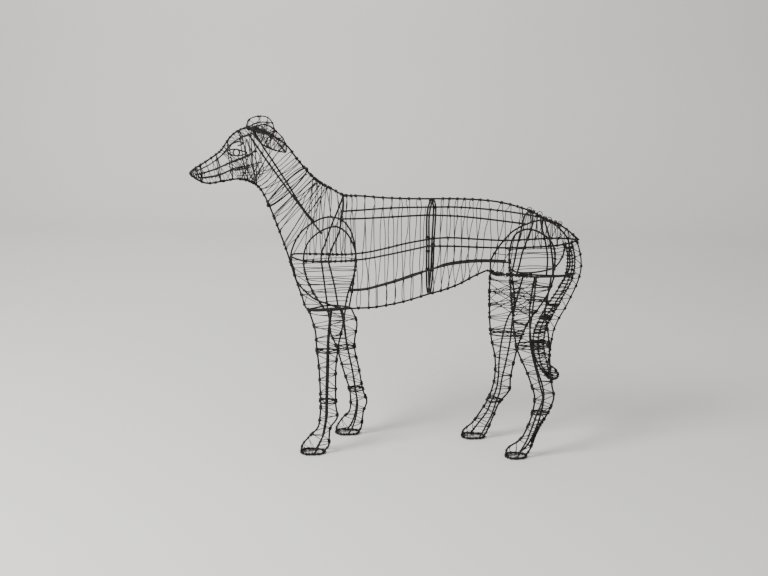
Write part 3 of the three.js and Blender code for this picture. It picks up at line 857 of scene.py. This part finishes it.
# A stretch of a rod, between two shares of its length
def part(rod, first, last):
    piece = Rod([rod.line[0], rod.line[1]], rod.radius)
    count = len(rod.line) - 1
    piece.line = rod.line[round(first * count):round(last * count) + 1]
    return piece


def halfOf(node, side):
    rod = only(node)
    return part(rod, 0.0, 0.5) if side < 0 else part(rod, 0.5, 1.0)


# An arch stands on two feet: the edge nearer the nose and the edge nearer the tail
def edgeOf(node, rear):
    rod = only(node)
    top = max(range(len(rod.line)), key=lambda i: rod.line[i].z) / (len(rod.line) - 1)
    return part(rod, top, 1.0) if rear else part(rod, 0.0, top)


def byX(rod, x, loops=0):
    return (*rod.at(0, x), rod.radius, loops)


def byZ(rod, z, loops=0):
    return (*rod.at(2, z), rod.radius, loops)


def byShare(rod, share, loops=0):
    return (*rod.share(min(1.0, max(0.0, share))), rod.radius, loops)


# Where a rod crosses the line between two places, seen from the side
def crossed(rod, start, end, loops=0):
    def aside(point):
        run = Vector((end.x - start.x, end.z - start.z))
        gone = Vector((point.x - start.x, point.z - start.z))
        share = gone.dot(run) / max(run.length_squared, 1e-6)
        return (gone - run * min(1.0, max(0.0, share))).length

    best = min(range(len(rod.line)), key=lambda i: aside(rod.line[i]))
    if aside(rod.line[best]) > binding["miss"]:
        return None
    return (rod.line[best], rod.direction(best), rod.radius, loops)


# One long spiral between an upper and a lower bar, over the side bars that it meets on the way and
# round some of them, in the share that knots gives
def spiral(wire, tops, bottoms, leftBars, rightBars, bottomRight=None, radius=None, knots=0.45,
           bow=None):
    contacts = []

    def over(bars, start, end):
        met = [crossed(rod, start[0], end[0], int(wire.rng.random() < knots)) for rod in bars]
        return sorted((contact for contact in met if contact), key=lambda contact: contact[0].z)

    for number, bottom in enumerate(bottoms):
        top = tops[number]
        under = bottomRight[number] if bottomRight else bottom
        contacts += [top] + over(leftBars, top, bottom)[::-1] + [bottom]
        if bottomRight:
            contacts.append(under)
        if number + 1 < len(tops):
            contacts += over(rightBars, under, tops[number + 1])
    wire.run(contacts, radius, bow)


def steps(start, end, pitch):
    count = max(2, round(abs(end - start) / pitch))
    return [start + (end - start) * k / count for k in range(count + 1)]


# Body: each winding as x of its two ends, the croup also with its pitch
bodyWinding = {"frontPitch": 25.0, "rearPitch": 20.0, "front": (-80, 112), "rear": (272, 133),
               "hip": (352, 290), "shake": 2.5, "croup": (362, 516, 10.0)}


def flankOf(half, sideName, side):
    upper, lower = (only(f"{level}_bar_{half}_{sideName}") for level in ("upper", "lower"))
    return [upper, halfOf("middle_bar_" + half, side), lower]


def windBody():
    wire = Binding("body_binding", 3)
    s = bodyWinding
    pitch = s["frontPitch"]

    def shaken(value):
        return wire.shaken(value, s["shake"])

    spineFront, bellyFront = only("spine_front"), only("belly_front")
    xs = steps(*s["front"], pitch)
    tops = [byX(spineFront, shaken(x), 2) for x in xs]
    bottoms = [byX(bellyFront, min(s["front"][1], shaken(x + pitch / 2)), 2) for x in xs[:-1]]
    leftBars, rightBars = (flankOf("front", *pair) for pair in sides)
    spiral(wire, tops, bottoms, leftBars, rightBars)

    pitch = s["rearPitch"]
    spineRear, bellyRear = only("spine_rear"), only("belly_rear")
    leftBars, rightBars = (flankOf("rear", name, side) + [edgeOf("thigh_arch_" + name, False)]
                           for name, side in sides)
    xs = steps(*s["rear"], pitch)
    tops = [byX(spineRear, shaken(x), 2) for x in xs]
    bottoms = [byX(bellyRear, shaken(x - pitch), 2) for x in xs[:-1]]
    spiral(wire, tops, bottoms, leftBars, rightBars)

    xs = steps(*s["hip"], pitch)
    tops = [byX(spineRear, shaken(x), 2) for x in xs]
    bottoms = [byX(halfOf("crotch_hoop", -1), shaken(x - pitch), 1) for x in xs[:-1]]
    unders = [byX(halfOf("crotch_hoop", 1), shaken(x - pitch), 1) for x in xs[:-1]]
    leftBars.append(edgeOf("thigh_arch_left", True))
    rightBars.append(edgeOf("thigh_arch_right", True))
    spiral(wire, tops, bottoms, leftBars, rightBars, unders)

    first, last, pitch = s["croup"]
    for side in (-1, 1):
        middle = halfOf("middle_bar_rear", side)
        contacts = []
        for number, x in enumerate(steps(first, last, pitch)):
            rod = middle if number % 2 else spineRear
            contacts.append(byX(rod, shaken(x), 1))
        wire.run(contacts)
    wire.make()


# Ties round the pair of hoops at mid-body: heights on the left side, then on the right side
jointTies = {"left": (690, 600, 562, 512), "right": (640, 560, 490), "reach": 4.4, "turns": 2.5}


def tieJoint():
    wire = Binding("joint_ties", 13)
    for sideName, side in sides:
        for z in jointTies[sideName]:
            a, direction = halfOf("joint_hoop_front", -side).at(2, z)
            b, _ = halfOf("joint_hoop_rear", -side).at(2, z)
            wire.wrap((a + b) / 2, direction, jointTies["reach"], jointTies["turns"])
    wire.make()


# Neck: each turn goes from the nape down to the throat, as x on the topline and x on the underline
neckWinding = {
    "turns": [(-325, -374), (-305, -366), (-286, -359), (-266, -352), (-253, -341), (-240, -331),
              (-230, -323), (-219, -316), (-208, -310), (-200, -302), (-192, -295), (-184, -288),
              (-177, -281), (-170, -273), (-163, -265), (-157, -257)],
    "shake": 3.0,
    "bow": 3.2,
    "hoop": (-214, -311),
    "hoopLean": 15.0,
    "hoopRadius": 2.2,
}


def windNeck():
    wire = Binding("neck_binding", 5)
    s = neckWinding
    nape, throat = only("spine_front"), only("belly_front")
    turns = [(wire.shaken(a, s["shake"]), wire.shaken(b, s["shake"])) for a, b in s["turns"]]
    tops = [byX(nape, a, 2) for a, _ in turns]
    bottoms = [byX(throat, b, 2) for _, b in turns]
    left = [only("neck_bar_left"), edgeOf("shoulder_arch_left", False)]
    right = [only("neck_bar_right"), edgeOf("shoulder_arch_right", False)]
    spiral(wire, tops, bottoms, left, right, bow=s["bow"])
    high, _ = nape.at(0, s["hoop"][0])
    low, _ = throat.at(0, s["hoop"][1])
    middle = (high + low) / 2
    upward = (high - low).normalized()
    forward = Vector((0, 1, 0)).cross(upward)
    lap = nape.radius + s["hoopRadius"]
    halfHeight = (high - low).length / 2 + lap
    halfWidth = abs(crossed(left[0], high, low)[0].y) + lap
    ring = []
    for angle in circle(36):
        lean = forward * s["hoopLean"] * math.sin(angle)
        ring.append(middle + upward * halfHeight * math.cos(angle) + lean
                    + Vector((0, halfWidth * math.sin(angle), 0)))
    wire.lines.append((ring, s["hoopRadius"], True))
    wire.make()


# Shoulders: ties from the back down to the middle bar (x above, x below), then level ones
# across each arch, the double ones where the photo shows two wires together
shoulderWinding = {
    "down": [(-197, -207), (-186, -190), (-173, -171), (-160, -156), (-148, -141), (-134, -130),
             (-118, -115), (-106, -105), (-92, -89)],
    "level": (526, 507, 503, 482, 478, 467, 455, 449, 433, 420),
    "rightDrop": 10.0,
    "breast": (520, 398, 13.0),
    "breastStretch": (0.2, 0.62),
}


def windShoulders():
    wire = Binding("shoulder_binding", 7)
    s = shoulderWinding
    spine = only("spine_front")
    for sideName, side in sides:
        arch = "shoulder_arch_" + sideName
        middle = halfOf("middle_bar_front", side)
        frontEdge, rearEdge = edgeOf(arch, False), edgeOf(arch, True)
        rib = halfOf("withers_rib", side)
        upper = only("upper_bar_front_" + sideName)
        for above, below in s["down"]:
            top = byX(spine, wire.shaken(above), 2)
            foot = byX(middle, wire.shaken(below), 2)
            on = [crossed(rod, top[0], foot[0]) for rod in (frontEdge, rearEdge, upper)]
            between = sorted((c for c in on if c), key=lambda c: -c[0].z)
            wire.run([top] + between + [foot])
        drop = 0.0 if side < 0 else s["rightDrop"]
        for z in s["level"] if side < 0 else s["level"][::2]:
            slope = wire.shaken(0.0, 4.0)
            front = byZ(frontEdge, z - drop + slope, 1)
            rear = byZ(rearEdge, z - drop - slope, 1)
            over = crossed(rib, front[0], rear[0])
            wire.run([front] + ([over] if over else []) + [rear])
    breast = part(only("belly_front"), *s["breastStretch"])
    first, last, pitch = s["breast"]
    for sideName, side in sides:
        edge = edgeOf("shoulder_arch_" + sideName, False)
        contacts = []
        for number, z in enumerate(steps(first, last, pitch)):
            contacts.append(byZ(breast if number % 2 else edge, wire.shaken(z), 1))
        wire.run(contacts)
    wire.make()


# Thighs: slightly rising wires across the oval between the edges of each arch
thighWinding = {"left": (571, 563, 545, 522, 516), "right": (536,), "rise": 4.0, "slingRise": 10.0,
                "slingStretch": (0.6, 1.0)}


def windThighs():
    wire = Binding("thigh_binding", 8)
    s = thighWinding
    sling = part(only("thigh_sling_left"), *s["slingStretch"])
    for sideName, side in sides:
        frontEdge = edgeOf("thigh_arch_" + sideName, False)
        rearEdge = edgeOf("thigh_arch_" + sideName, True)
        ribRods = [halfOf("hip_hoop_front", side), halfOf("hip_hoop_rear", side)]
        for z in s[sideName]:
            front = byZ(frontEdge, wire.shaken(z), 1)
            rear = byZ(rearEdge, wire.shaken(z + s["rise"]), 1)
            over = [crossed(rod, front[0], rear[0]) for rod in ribRods]
            line = [front] + [c for c in over if c] + [rear]
            if side < 0:
                line.append(byZ(sling, z + s["slingRise"], 1))
            wire.run(line)
    wire.make()


# Two long windings run down each leg, the second one the other way round
legWinding = {"pitch": 37.0, "shake": 4.0, "topGap": 12.0, "lowest": 16}
# Crossed ties at the top of the hind legs, from the front bar back to the bars beside it
thighLacing = {"left_hind": 490, "right_hind": 474, "ties": 4, "step": 19.0, "drop": 48.0}
# A stretch of the rear bar wound closely with wire, as heights, number of turns and pitch
heelWraps = {"left_hind": (108, 44), "turns": 5, "turnShare": (0.5, 1.0), "pitch": 8.0}
# Heights where one wire more lies round a whole leg, beside its rings
legBands = {"left_front": (288, 149), "right_front": (266, 140), "left_hind": (308, 129),
            "right_hind": (320, 117)}


def windLegs():
    for name, leg in legs.items():
        wire = Binding(name + "_leg_binding", 20 + len(name) + leg["foot"])
        rng = wire.rng
        front, outer, rear = (only(f"{name}_leg_{which}_bar") for which in ("front", "outer", "rear"))
        inner = only(f"{name}_leg_inner_bar_and_rings")
        order = [(front, 2), (outer, 0), (rear, 2), (inner, 0)]
        top = leg["rows"][0][0] - legWinding["topGap"]
        heightsDown = steps(top, legWinding["lowest"], legWinding["pitch"])
        for turning in (order, [order[0]] + order[:0:-1]):
            contacts = []
            for z, following in zip(heightsDown, heightsDown[1:]):
                for k, (rod, loops) in enumerate(turning):
                    here = z + (following - z) * k / len(turning)
                    contacts.append(byZ(rod, wire.shaken(here, legWinding["shake"]), loops))
            wire.run(contacts)
        if name in thighLacing:
            for k in range(thighLacing["ties"]):
                high = thighLacing[name] - thighLacing["step"] * k
                low = high - thighLacing["drop"]
                beside = inner if k % 2 else outer
                wire.run([byZ(front, high, 1), byZ(beside, low, 1)])
                wire.run([byZ(beside, high, 1), byZ(front, low, 1)])
        if name in heelWraps:
            for z in steps(*heelWraps[name], heelWraps["pitch"]):
                place, direction = rear.at(2, z)
                turns = heelWraps["turns"] * rng.uniform(*heelWraps["turnShare"])
                wire.wrap(place, direction, rear.radius, turns)
        for z in legBands[name]:
            contacts = [byZ(rod, wire.shaken(z), 0) for rod, _ in order] + [byZ(front, z + 2, 2)]
            wire.run(contacts, stock["heavyWireRadius"], binding["tightBow"])
        windPaw(wire, name)
        wire.make()


# Paws: turns round the rear half of the sole's loop, lacing across its toes, and wires over the toes
# as height on the front bar and share of the loop
pawWinding = {"wraps": 8, "wrapStart": 0.2, "wrapSpan": 0.6, "turns": (1.5, 3.5), "toes": 3,
              "radius": 0.72,
              "laceStart": 0.06, "laceSpan": 0.38, "over": [(20, 0.10), (31, 0.17), (44, 0.26)],
              "footHeight": 14, "footShares": (0.06, 0.94)}


def windPaw(wire, name):
    loop = only(f"{name}_paw_loop")
    rng = wire.rng
    count = pawWinding["wraps"]
    for k in range(count):
        share = pawWinding["wrapStart"] + pawWinding["wrapSpan"] * (k + rng.uniform(0, 0.6)) / count
        place, direction = loop.share(share)
        turns = rng.uniform(*pawWinding["turns"])
        wire.wrap(place, direction, loop.radius, turns, radius=pawWinding["radius"])
    # laced across the front of the sole
    contacts = []
    for k in range(pawWinding["toes"]):
        share = pawWinding["laceStart"] + pawWinding["laceSpan"] * wire.shaken(k, 0.2) / pawWinding["toes"]
        contacts.append(byShare(loop, share, 1))
        contacts.append(byShare(loop, 1 - share, 1))
    wire.run(contacts, pawWinding["radius"])
    # over the toes, from one side of the sole to the other
    front = only(f"{name}_leg_front_bar")
    for z, share in pawWinding["over"]:
        top = byZ(front, wire.shaken(z), 1)
        wire.run([byShare(loop, share, 1), top, byShare(loop, 1 - share, 1)], stock["fineWireRadius"])
    # and from each bar down to both sides of the toes
    for which in ("front", "outer", "rear"):
        rod = only(f"{name}_leg_{which}_bar")
        for share in pawWinding["footShares"]:
            foot = byZ(rod, pawWinding["footHeight"] + rng.uniform(-3, 5), 1)
            sole = byShare(loop, wire.shaken(share, 0.04), 1)
            wire.run([foot, sole], pawWinding["radius"])


# Head: each turn round the muzzle leans back, as x on the topline and x on the underline
headWinding = {
    "muzzle": [(-505, -489), (-492, -470), (-479, -452), (-465, -433), (-450, -414)],
    "hatch": (-432, -366, 9.0),
    "hatchLean": 17.0,
    "stop": [(-443, -392, -386), (-437, -386, -380), (-431, -379, -373)],
    "stopLean": 14,
    "muzzleRadius": 0.85,
    "stopRadius": 0.9,
    "jawTies": (-452, -346, 20.0),
    "cheekTies": [(-425, -396), (-396, -368), (-372, -390)],
    "jaw": [(-390, -30, 751), (-360, -34, 753), (-322, -38, 758), (-300, -41, 772)],
    "skullRing": [(-392, -12, 862), (-377, -28, 843), (-368, -34, 819), (-363, -37, 802),
                  (-361, -36, 776), (-352, -20, 742)],
    "cheekRing": [(-365, -37, 847), (-351, -41, 814), (-338, -43, 788), (-331, -43, 755),
                  (-340, -40, 739), (-353, -38, 747), (-366, -37, 790)],
}


def windHead():
    wire = Binding("head_binding", 9)
    s = headWinding
    fine = stock["fineWireRadius"]
    top, under = only("spine_front"), only("belly_front")
    left, right = ([halfOf(level + "_bar", side) for level in ("brow", "cheek", "mouth")]
                   for _, side in sides)
    tops = [byX(top, wire.shaken(a, 1), 2) for a, _ in s["muzzle"]]
    bottoms = [byX(under, wire.shaken(b), 2) for _, b in s["muzzle"]]
    spiral(wire, tops, bottoms, left, right, radius=s["muzzleRadius"], knots=0.2)
    for brow, cheek, mouth in (left, right):
        first, last, pitch = s["hatch"]
        contacts = []
        for number, x in enumerate(steps(first, last, pitch)):
            x = wire.shaken(x, 1)
            crown, edge = byX(top, x, 1), byX(brow, x + s["hatchLean"], 0)
            contacts += [edge, crown] if number % 2 else [crown, edge]
        wire.run(contacts, fine)
        for above, middle, below in s["stop"]:
            wire.run([byX(top, above, 1), byX(cheek, middle - s["stopLean"], 0), byX(mouth, middle, 1),
                      byX(under, below, 1)], s["stopRadius"])
        first, last, pitch = s["jawTies"]
        contacts = [byX(under if number % 2 else mouth, wire.shaken(x), 1)
                    for number, x in enumerate(steps(first, last, pitch))]
        wire.run(contacts, s["muzzleRadius"])
        for above, below in s["cheekTies"]:
            wire.run([byX(cheek, above, 1), byX(mouth, below, 1)], fine)
    for side in (-1, 1):
        for key, closed in (("jaw", False), ("skullRing", False), ("cheekRing", True)):
            line = [Vector((x, -side * y, z)) for x, y, z in s[key]]
            wire.lines.append((smoothLine(line, closed), stock["wireRadius"], closed))
    wire.make()


# Eyes and nose, bent from short ends of wire, as [x, z] on the cheek; the head gets wider from the
# nose back, and the rear end of the eye lies at its full depth
face = {
    "drawn": ((-1, "eye", True), (-1, "eyeBrow", False), (-1, "iris", True), (1, "eyeBrow", False)),
    "eyeDepth": 29.0,
    "eyeEnd": -367,
    "widening": 0.1,
    "eye": [(-418, 814), (-408, 818), (-394, 819), (-381, 816), (-366, 811), (-380, 804), (-394, 802),
            (-407, 805)],
    "eyeBrow": [(-418, 815), (-411, 828), (-402, 834), (-392, 838), (-381, 839), (-376, 835),
                (-381, 831), (-390, 829)],
    "iris": [(-402, 811), (-398, 818), (-391, 819), (-385, 811), (-389, 804), (-398, 803)],
    "noseRings": [(-518, 750, 4.0, 5.0), (-514, 749, 6.5, 9.0), (-509, 748, 8.0, 12.0),
                  (-503, 748, 9.5, 15.0), (-497, 749, 11.0, 17.0)],
    "wire": 2.1,
}


def bendFace():
    wire = Binding("face_wires", 17)
    for side, key, closed in face["drawn"]:
        line = []
        for x, z in face[key]:
            out = face["eyeDepth"] + face["widening"] * (x - face["eyeEnd"])
            line.append(Vector((x, side * out, z)))
        radius = face["wire"] if side < 0 else stock["fineWireRadius"]
        wire.lines.append((smoothLine(line, closed, 2.0), radius, closed))
    for x, z, halfWidth, halfHeight in face["noseRings"]:
        lean = wire.rng.uniform(0.1, 0.5)
        ring = []
        for angle in circle(20):
            rise = halfHeight * math.cos(angle)
            ring.append(Vector((x - lean * rise, halfWidth * math.sin(angle), z + rise)))
        wire.lines.append((ring, stock["wireRadius"], True))
    wire.make()


# Ears: ties between the outline and the rib, small curls of wire in between, and a tangle of wires
# from the crown to the roots of both ears
earWinding = {
    "ties": {"ear_left": 12, "ear_right": 4},
    "curls": {"ear_left": 34, "ear_right": 14},
    "curlSize": (3.0, 6.5),
    "curlTurns": 1.1,
    "curlOpening": (0.75, 0.35),
    "curlRise": 0.15,
    "curlRadius": 0.72,
    "tangle": 14,
    "tangleSpan": (-372, -300),
    "tangleBow": 4.0,
}


def curl(wire, place, size, facing):
    first = facing.orthogonal().normalized()
    second = facing.cross(first)
    start = wire.rng.uniform(0, 2 * math.pi)
    line = []
    count = 12
    inner, growth = earWinding["curlOpening"]
    for k in range(count + 1):
        angle = start + 2 * math.pi * earWinding["curlTurns"] * k / count
        out = size * (inner + growth * k / count)
        line.append(place + first * math.cos(angle) * out + second * math.sin(angle) * out
                    + facing * earWinding["curlRise"] * k)
    wire.lines.append((line, earWinding["curlRadius"], False))


def windEars():
    wire = Binding("ear_binding", 31)
    rng = wire.rng
    fine = stock["fineWireRadius"]
    for node, count in earWinding["ties"].items():
        outline, rib = rods[node]
        contacts = []
        for k in range(count):
            share = k / count * 0.5
            contacts.append(byShare(outline, wire.shaken(share, 0.05), 1))
            contacts.append(byShare(rib, wire.shaken(2 * share, 0.15), 0))
            contacts.append(byShare(outline, wire.shaken(1 - share, 0.05), 1))
        wire.run(contacts, fine)
        for k in range(earWinding["curls"][node]):
            edge, _ = outline.share(rng.random() if node == "ear_left" else rng.uniform(0.7, 1.0))
            inner, _ = rib.share(rng.random())
            facing = Vector((rng.uniform(-0.5, 0.5), 1, rng.uniform(-0.5, 0.5))).normalized()
            place = edge.lerp(inner, rng.uniform(0.15, 1.0))
            curl(wire, place, rng.uniform(*earWinding["curlSize"]), facing)
    spine = only("spine_front")
    leftEar, rightEar = only("ear_left"), only("ear_right")
    for k in range(earWinding["tangle"]):
        crown = byX(spine, rng.uniform(*earWinding["tangleSpan"]), 2)
        ear = leftEar if k % 2 else rightEar
        share = rng.choice((rng.uniform(0.0, 0.3), rng.uniform(0.7, 1.0)))
        wire.run([crown, byShare(ear, share, 2)], fine, earWinding["tangleBow"])
    wire.make()


# Tail: a close winding round the front, left and right bars, doubled over a short stretch, a
# sparse zigzag back to the rear bar, bands at four heights, and ties across the hook at the tip
tailWinding = {"pitch": 10.0, "span": (582, 222), "closePitch": 9.0, "closeSpan": (402, 335),
               "rearPitch": 29.0, "rearDrop": 10.0, "bands": (568, 408, 370, 304), "bandTurns": 2,
               "bandStep": 2.4, "rearShare": 0.5, "frontShare": 0.53, "tipWraps": 7,
               "tipStart": 0.445, "tipStep": 0.012, "tipSum": 0.98, "crossStart": 0.97,
               "crossStep": 0.005}


def windTail():
    wire = Binding("tail_binding", 41)
    s = tailWinding
    outer = only("tail_outer_bar")
    rear, front = part(outer, 0.0, s["rearShare"]), part(outer, s["frontShare"], 1.0)
    left, right = halfOf("tail_flank_bar", -1), halfOf("tail_flank_bar", 1)
    order = [(left, 1, 0.0), (front, 1, 0.33), (right, 0, 0.67)]
    for span, pitch in (("span", "pitch"), ("closeSpan", "closePitch")):
        contacts = []
        for z in steps(*s[span], s[pitch]):
            for rod, loops, share in order:
                drop = wire.shaken(share * s[pitch], 1.5)
                contacts.append(byZ(rod, z - drop, loops if span == "span" else 0))
        wire.run(contacts)
    contacts = []
    for number, z in enumerate(steps(*s["span"], s["rearPitch"])):
        beside = right if number % 2 else left
        contacts.append(byZ(rear, wire.shaken(z), 2))
        contacts.append(byZ(beside, wire.shaken(z - s["rearDrop"]), 1))
    wire.run(contacts)
    for z in s["bands"]:
        for turn in range(s["bandTurns"]):
            contacts = [byZ(rod, z + s["bandStep"] * turn, 0) for rod in (front, left, right, front)]
            wire.run(contacts, None, binding["tightBow"])
    contacts = []
    for k in range(s["tipWraps"]):
        share = s["tipStart"] + s["tipStep"] * k
        contacts.append(byShare(outer, share, 1))
        contacts.append(byShare(left, s["crossStart"] + s["crossStep"] * k, 0))
        contacts.append(byShare(outer, s["tipSum"] - share, 1))
    wire.run(contacts)
    wire.make()


# Wire wound along the front of the crotch hoop, where the hind legs are tied to it
crotchTies = {"ties": 12, "span": (0.04, 0.27), "slack": 1.2, "turns": (1, 2.5), "pitch": (1.8, 4.0)}


def tieCrotch():
    wire = Binding("crotch_ties", 47)
    hoop = only("crotch_hoop")
    low, high = crotchTies["span"]
    for mirror in (False, True):
        for k in range(crotchTies["ties"]):
            share = low + (high - low) * (k + wire.rng.uniform(0, 0.8)) / crotchTies["ties"]
            place, direction = hoop.share(1 - share if mirror else share)
            reach = hoop.radius + wire.rng.uniform(0, crotchTies["slack"])
            turns = wire.rng.uniform(*crotchTies["turns"])
            wire.wrap(place, direction, reach, turns, pitch=wire.rng.uniform(*crotchTies["pitch"]))
    wire.make()


# Loose loops of wire end that stand up from the croup, as [x, size]: each opens as it turns
croup = {
    "loops": [(385, 7.0), (396, 5.0), (413, 8.0), (428, 5.0), (440, 6.5), (456, 4.5), (468, 7.0)],
    "turns": 1.15,
    "opening": (0.8, 0.25),
    "lean": 0.5,
    "knotTurns": 2.5,
}


def bendCroup():
    wire = Binding("croup_wires", 51)
    spine = only("spine_rear")
    count = 14
    inner, growth = croup["opening"]
    for x, size in croup["loops"]:
        place, direction = spine.at(0, x)
        lean = wire.shaken(0.0, croup["lean"])
        line = []
        for k in range(count + 1):
            angle = 2 * math.pi * (k / count * croup["turns"] - 0.25)
            along, rise = math.cos(angle), math.sin(angle)
            out = size * (inner + growth * k / count)
            line.append(place + Vector((along * out, rise * out * lean, size / 2 + rise * out)))
        wire.lines.append((line, stock["wireRadius"], False))
        wire.wrap(place, direction, spine.radius, croup["knotTurns"])
    wire.make()


windBody()
tieJoint()
windNeck()
windShoulders()
windThighs()
windLegs()
windHead()
bendFace()
windEars()
windTail()
tieCrotch()
bendCroup()
print("binding wound")


# Floor and light
studio = {
    "floorSize": (9, 4, 1),
    "floorPlace": -0.6,
    "floorEdge": 3.4,
    "floorBend": 1.2,
    "wallHeight": 4,
    "floorColour": (0.68, 0.672, 0.648),
    "cloudShade": 0.97,
    "worldColour": (0.72, 0.72, 0.71),
    "worldStrength": 0.97,
    "keyPlace": (-2.3, -1.7, 2.8),
    "keySize": 1.6,
    "keyPower": 240.0,
    "fillPlace": (2.2, -2.4, 1.8),
    "fillSize": 2.5,
    "fillPower": 8.0,
    "wallPlace": (-1.2, 1.6, 3.2),
    "wallAim": (-0.9, 4.6, 1.9),
    "wallSize": 1.2,
    "wallPower": 62.0,
}


def makeFloor():
    mesh = bpy.data.meshes.new("floor")
    form = bmesh.new()
    bmesh.ops.create_grid(form, x_segments=1, y_segments=1, size=1.0)
    bmesh.ops.scale(form, vec=studio["floorSize"], verts=form.verts)
    bmesh.ops.translate(form, vec=(0, studio["floorPlace"], 0), verts=form.verts)
    # the far edge is curved up into a wall
    back = [edge for edge in form.edges if all(vertex.co.y > 0 for vertex in edge.verts)]
    corners = [vertex for edge in back for vertex in edge.verts]
    spun = bmesh.ops.spin(form, geom=back + corners, steps=16, angle=math.radians(90), axis=(1, 0, 0),
                          cent=(0, studio["floorEdge"], studio["floorBend"]))
    rim = [item for item in spun["geom_last"] if isinstance(item, bmesh.types.BMEdge)]
    raised = bmesh.ops.extrude_edge_only(form, edges=rim)
    rimTop = [item for item in raised["geom"] if isinstance(item, bmesh.types.BMVert)]
    bmesh.ops.translate(form, vec=(0, 0, studio["wallHeight"]), verts=rimTop)
    bmesh.ops.remove_doubles(form, verts=form.verts, dist=1e-5)
    for face in form.faces:
        face.smooth = True
    form.to_mesh(mesh)
    form.free()
    shader = Shader("studio_paper")
    place = shader.node("ShaderNodeTexCoord", output=3)
    cloud = shader.node("ShaderNodeTexNoise", Vector=place, Scale=0.7, Detail=2.0)
    low = tuple(c * studio["cloudShade"] for c in studio["floorColour"])
    stops = [(0.3, low), (0.7, studio["floorColour"])]
    colour = shader.node("ShaderNodeValToRGB", {"stops": stops}, Fac=cloud)
    shader.set(Base_Color=colour, Roughness=0.85, Specular_IOR_Level=0.2)
    mesh.materials.append(shader.material)
    floor = bpy.data.objects.new("floor", mesh)
    bpy.context.scene.collection.objects.link(floor)


def makeLight(name, place, size, power, target=(0, 0, 0.4)):
    data = bpy.data.lights.new(name, "AREA")
    data.shape = "DISK"
    data.size = size
    data.energy = power
    light = bpy.data.objects.new(name, data)
    bpy.context.scene.collection.objects.link(light)
    light.location = place
    aim = Vector(target) - Vector(place)
    light.rotation_euler = aim.to_track_quat("-Z", "Y").to_euler()


def makeStudio():
    makeFloor()
    makeLight("key_light", studio["keyPlace"], studio["keySize"], studio["keyPower"])
    makeLight("fill_light", studio["fillPlace"], studio["fillSize"], studio["fillPower"])
    makeLight("wall_light", studio["wallPlace"], studio["wallSize"], studio["wallPower"],
              studio["wallAim"])
    world = bpy.data.worlds.new("studio")
    world.use_nodes = True
    background = world.node_tree.nodes["Background"]
    background.inputs["Color"].default_value = (*studio["worldColour"], 1)
    background.inputs["Strength"].default_value = studio["worldStrength"]
    bpy.context.scene.world = world


makeStudio()
print("studio made")
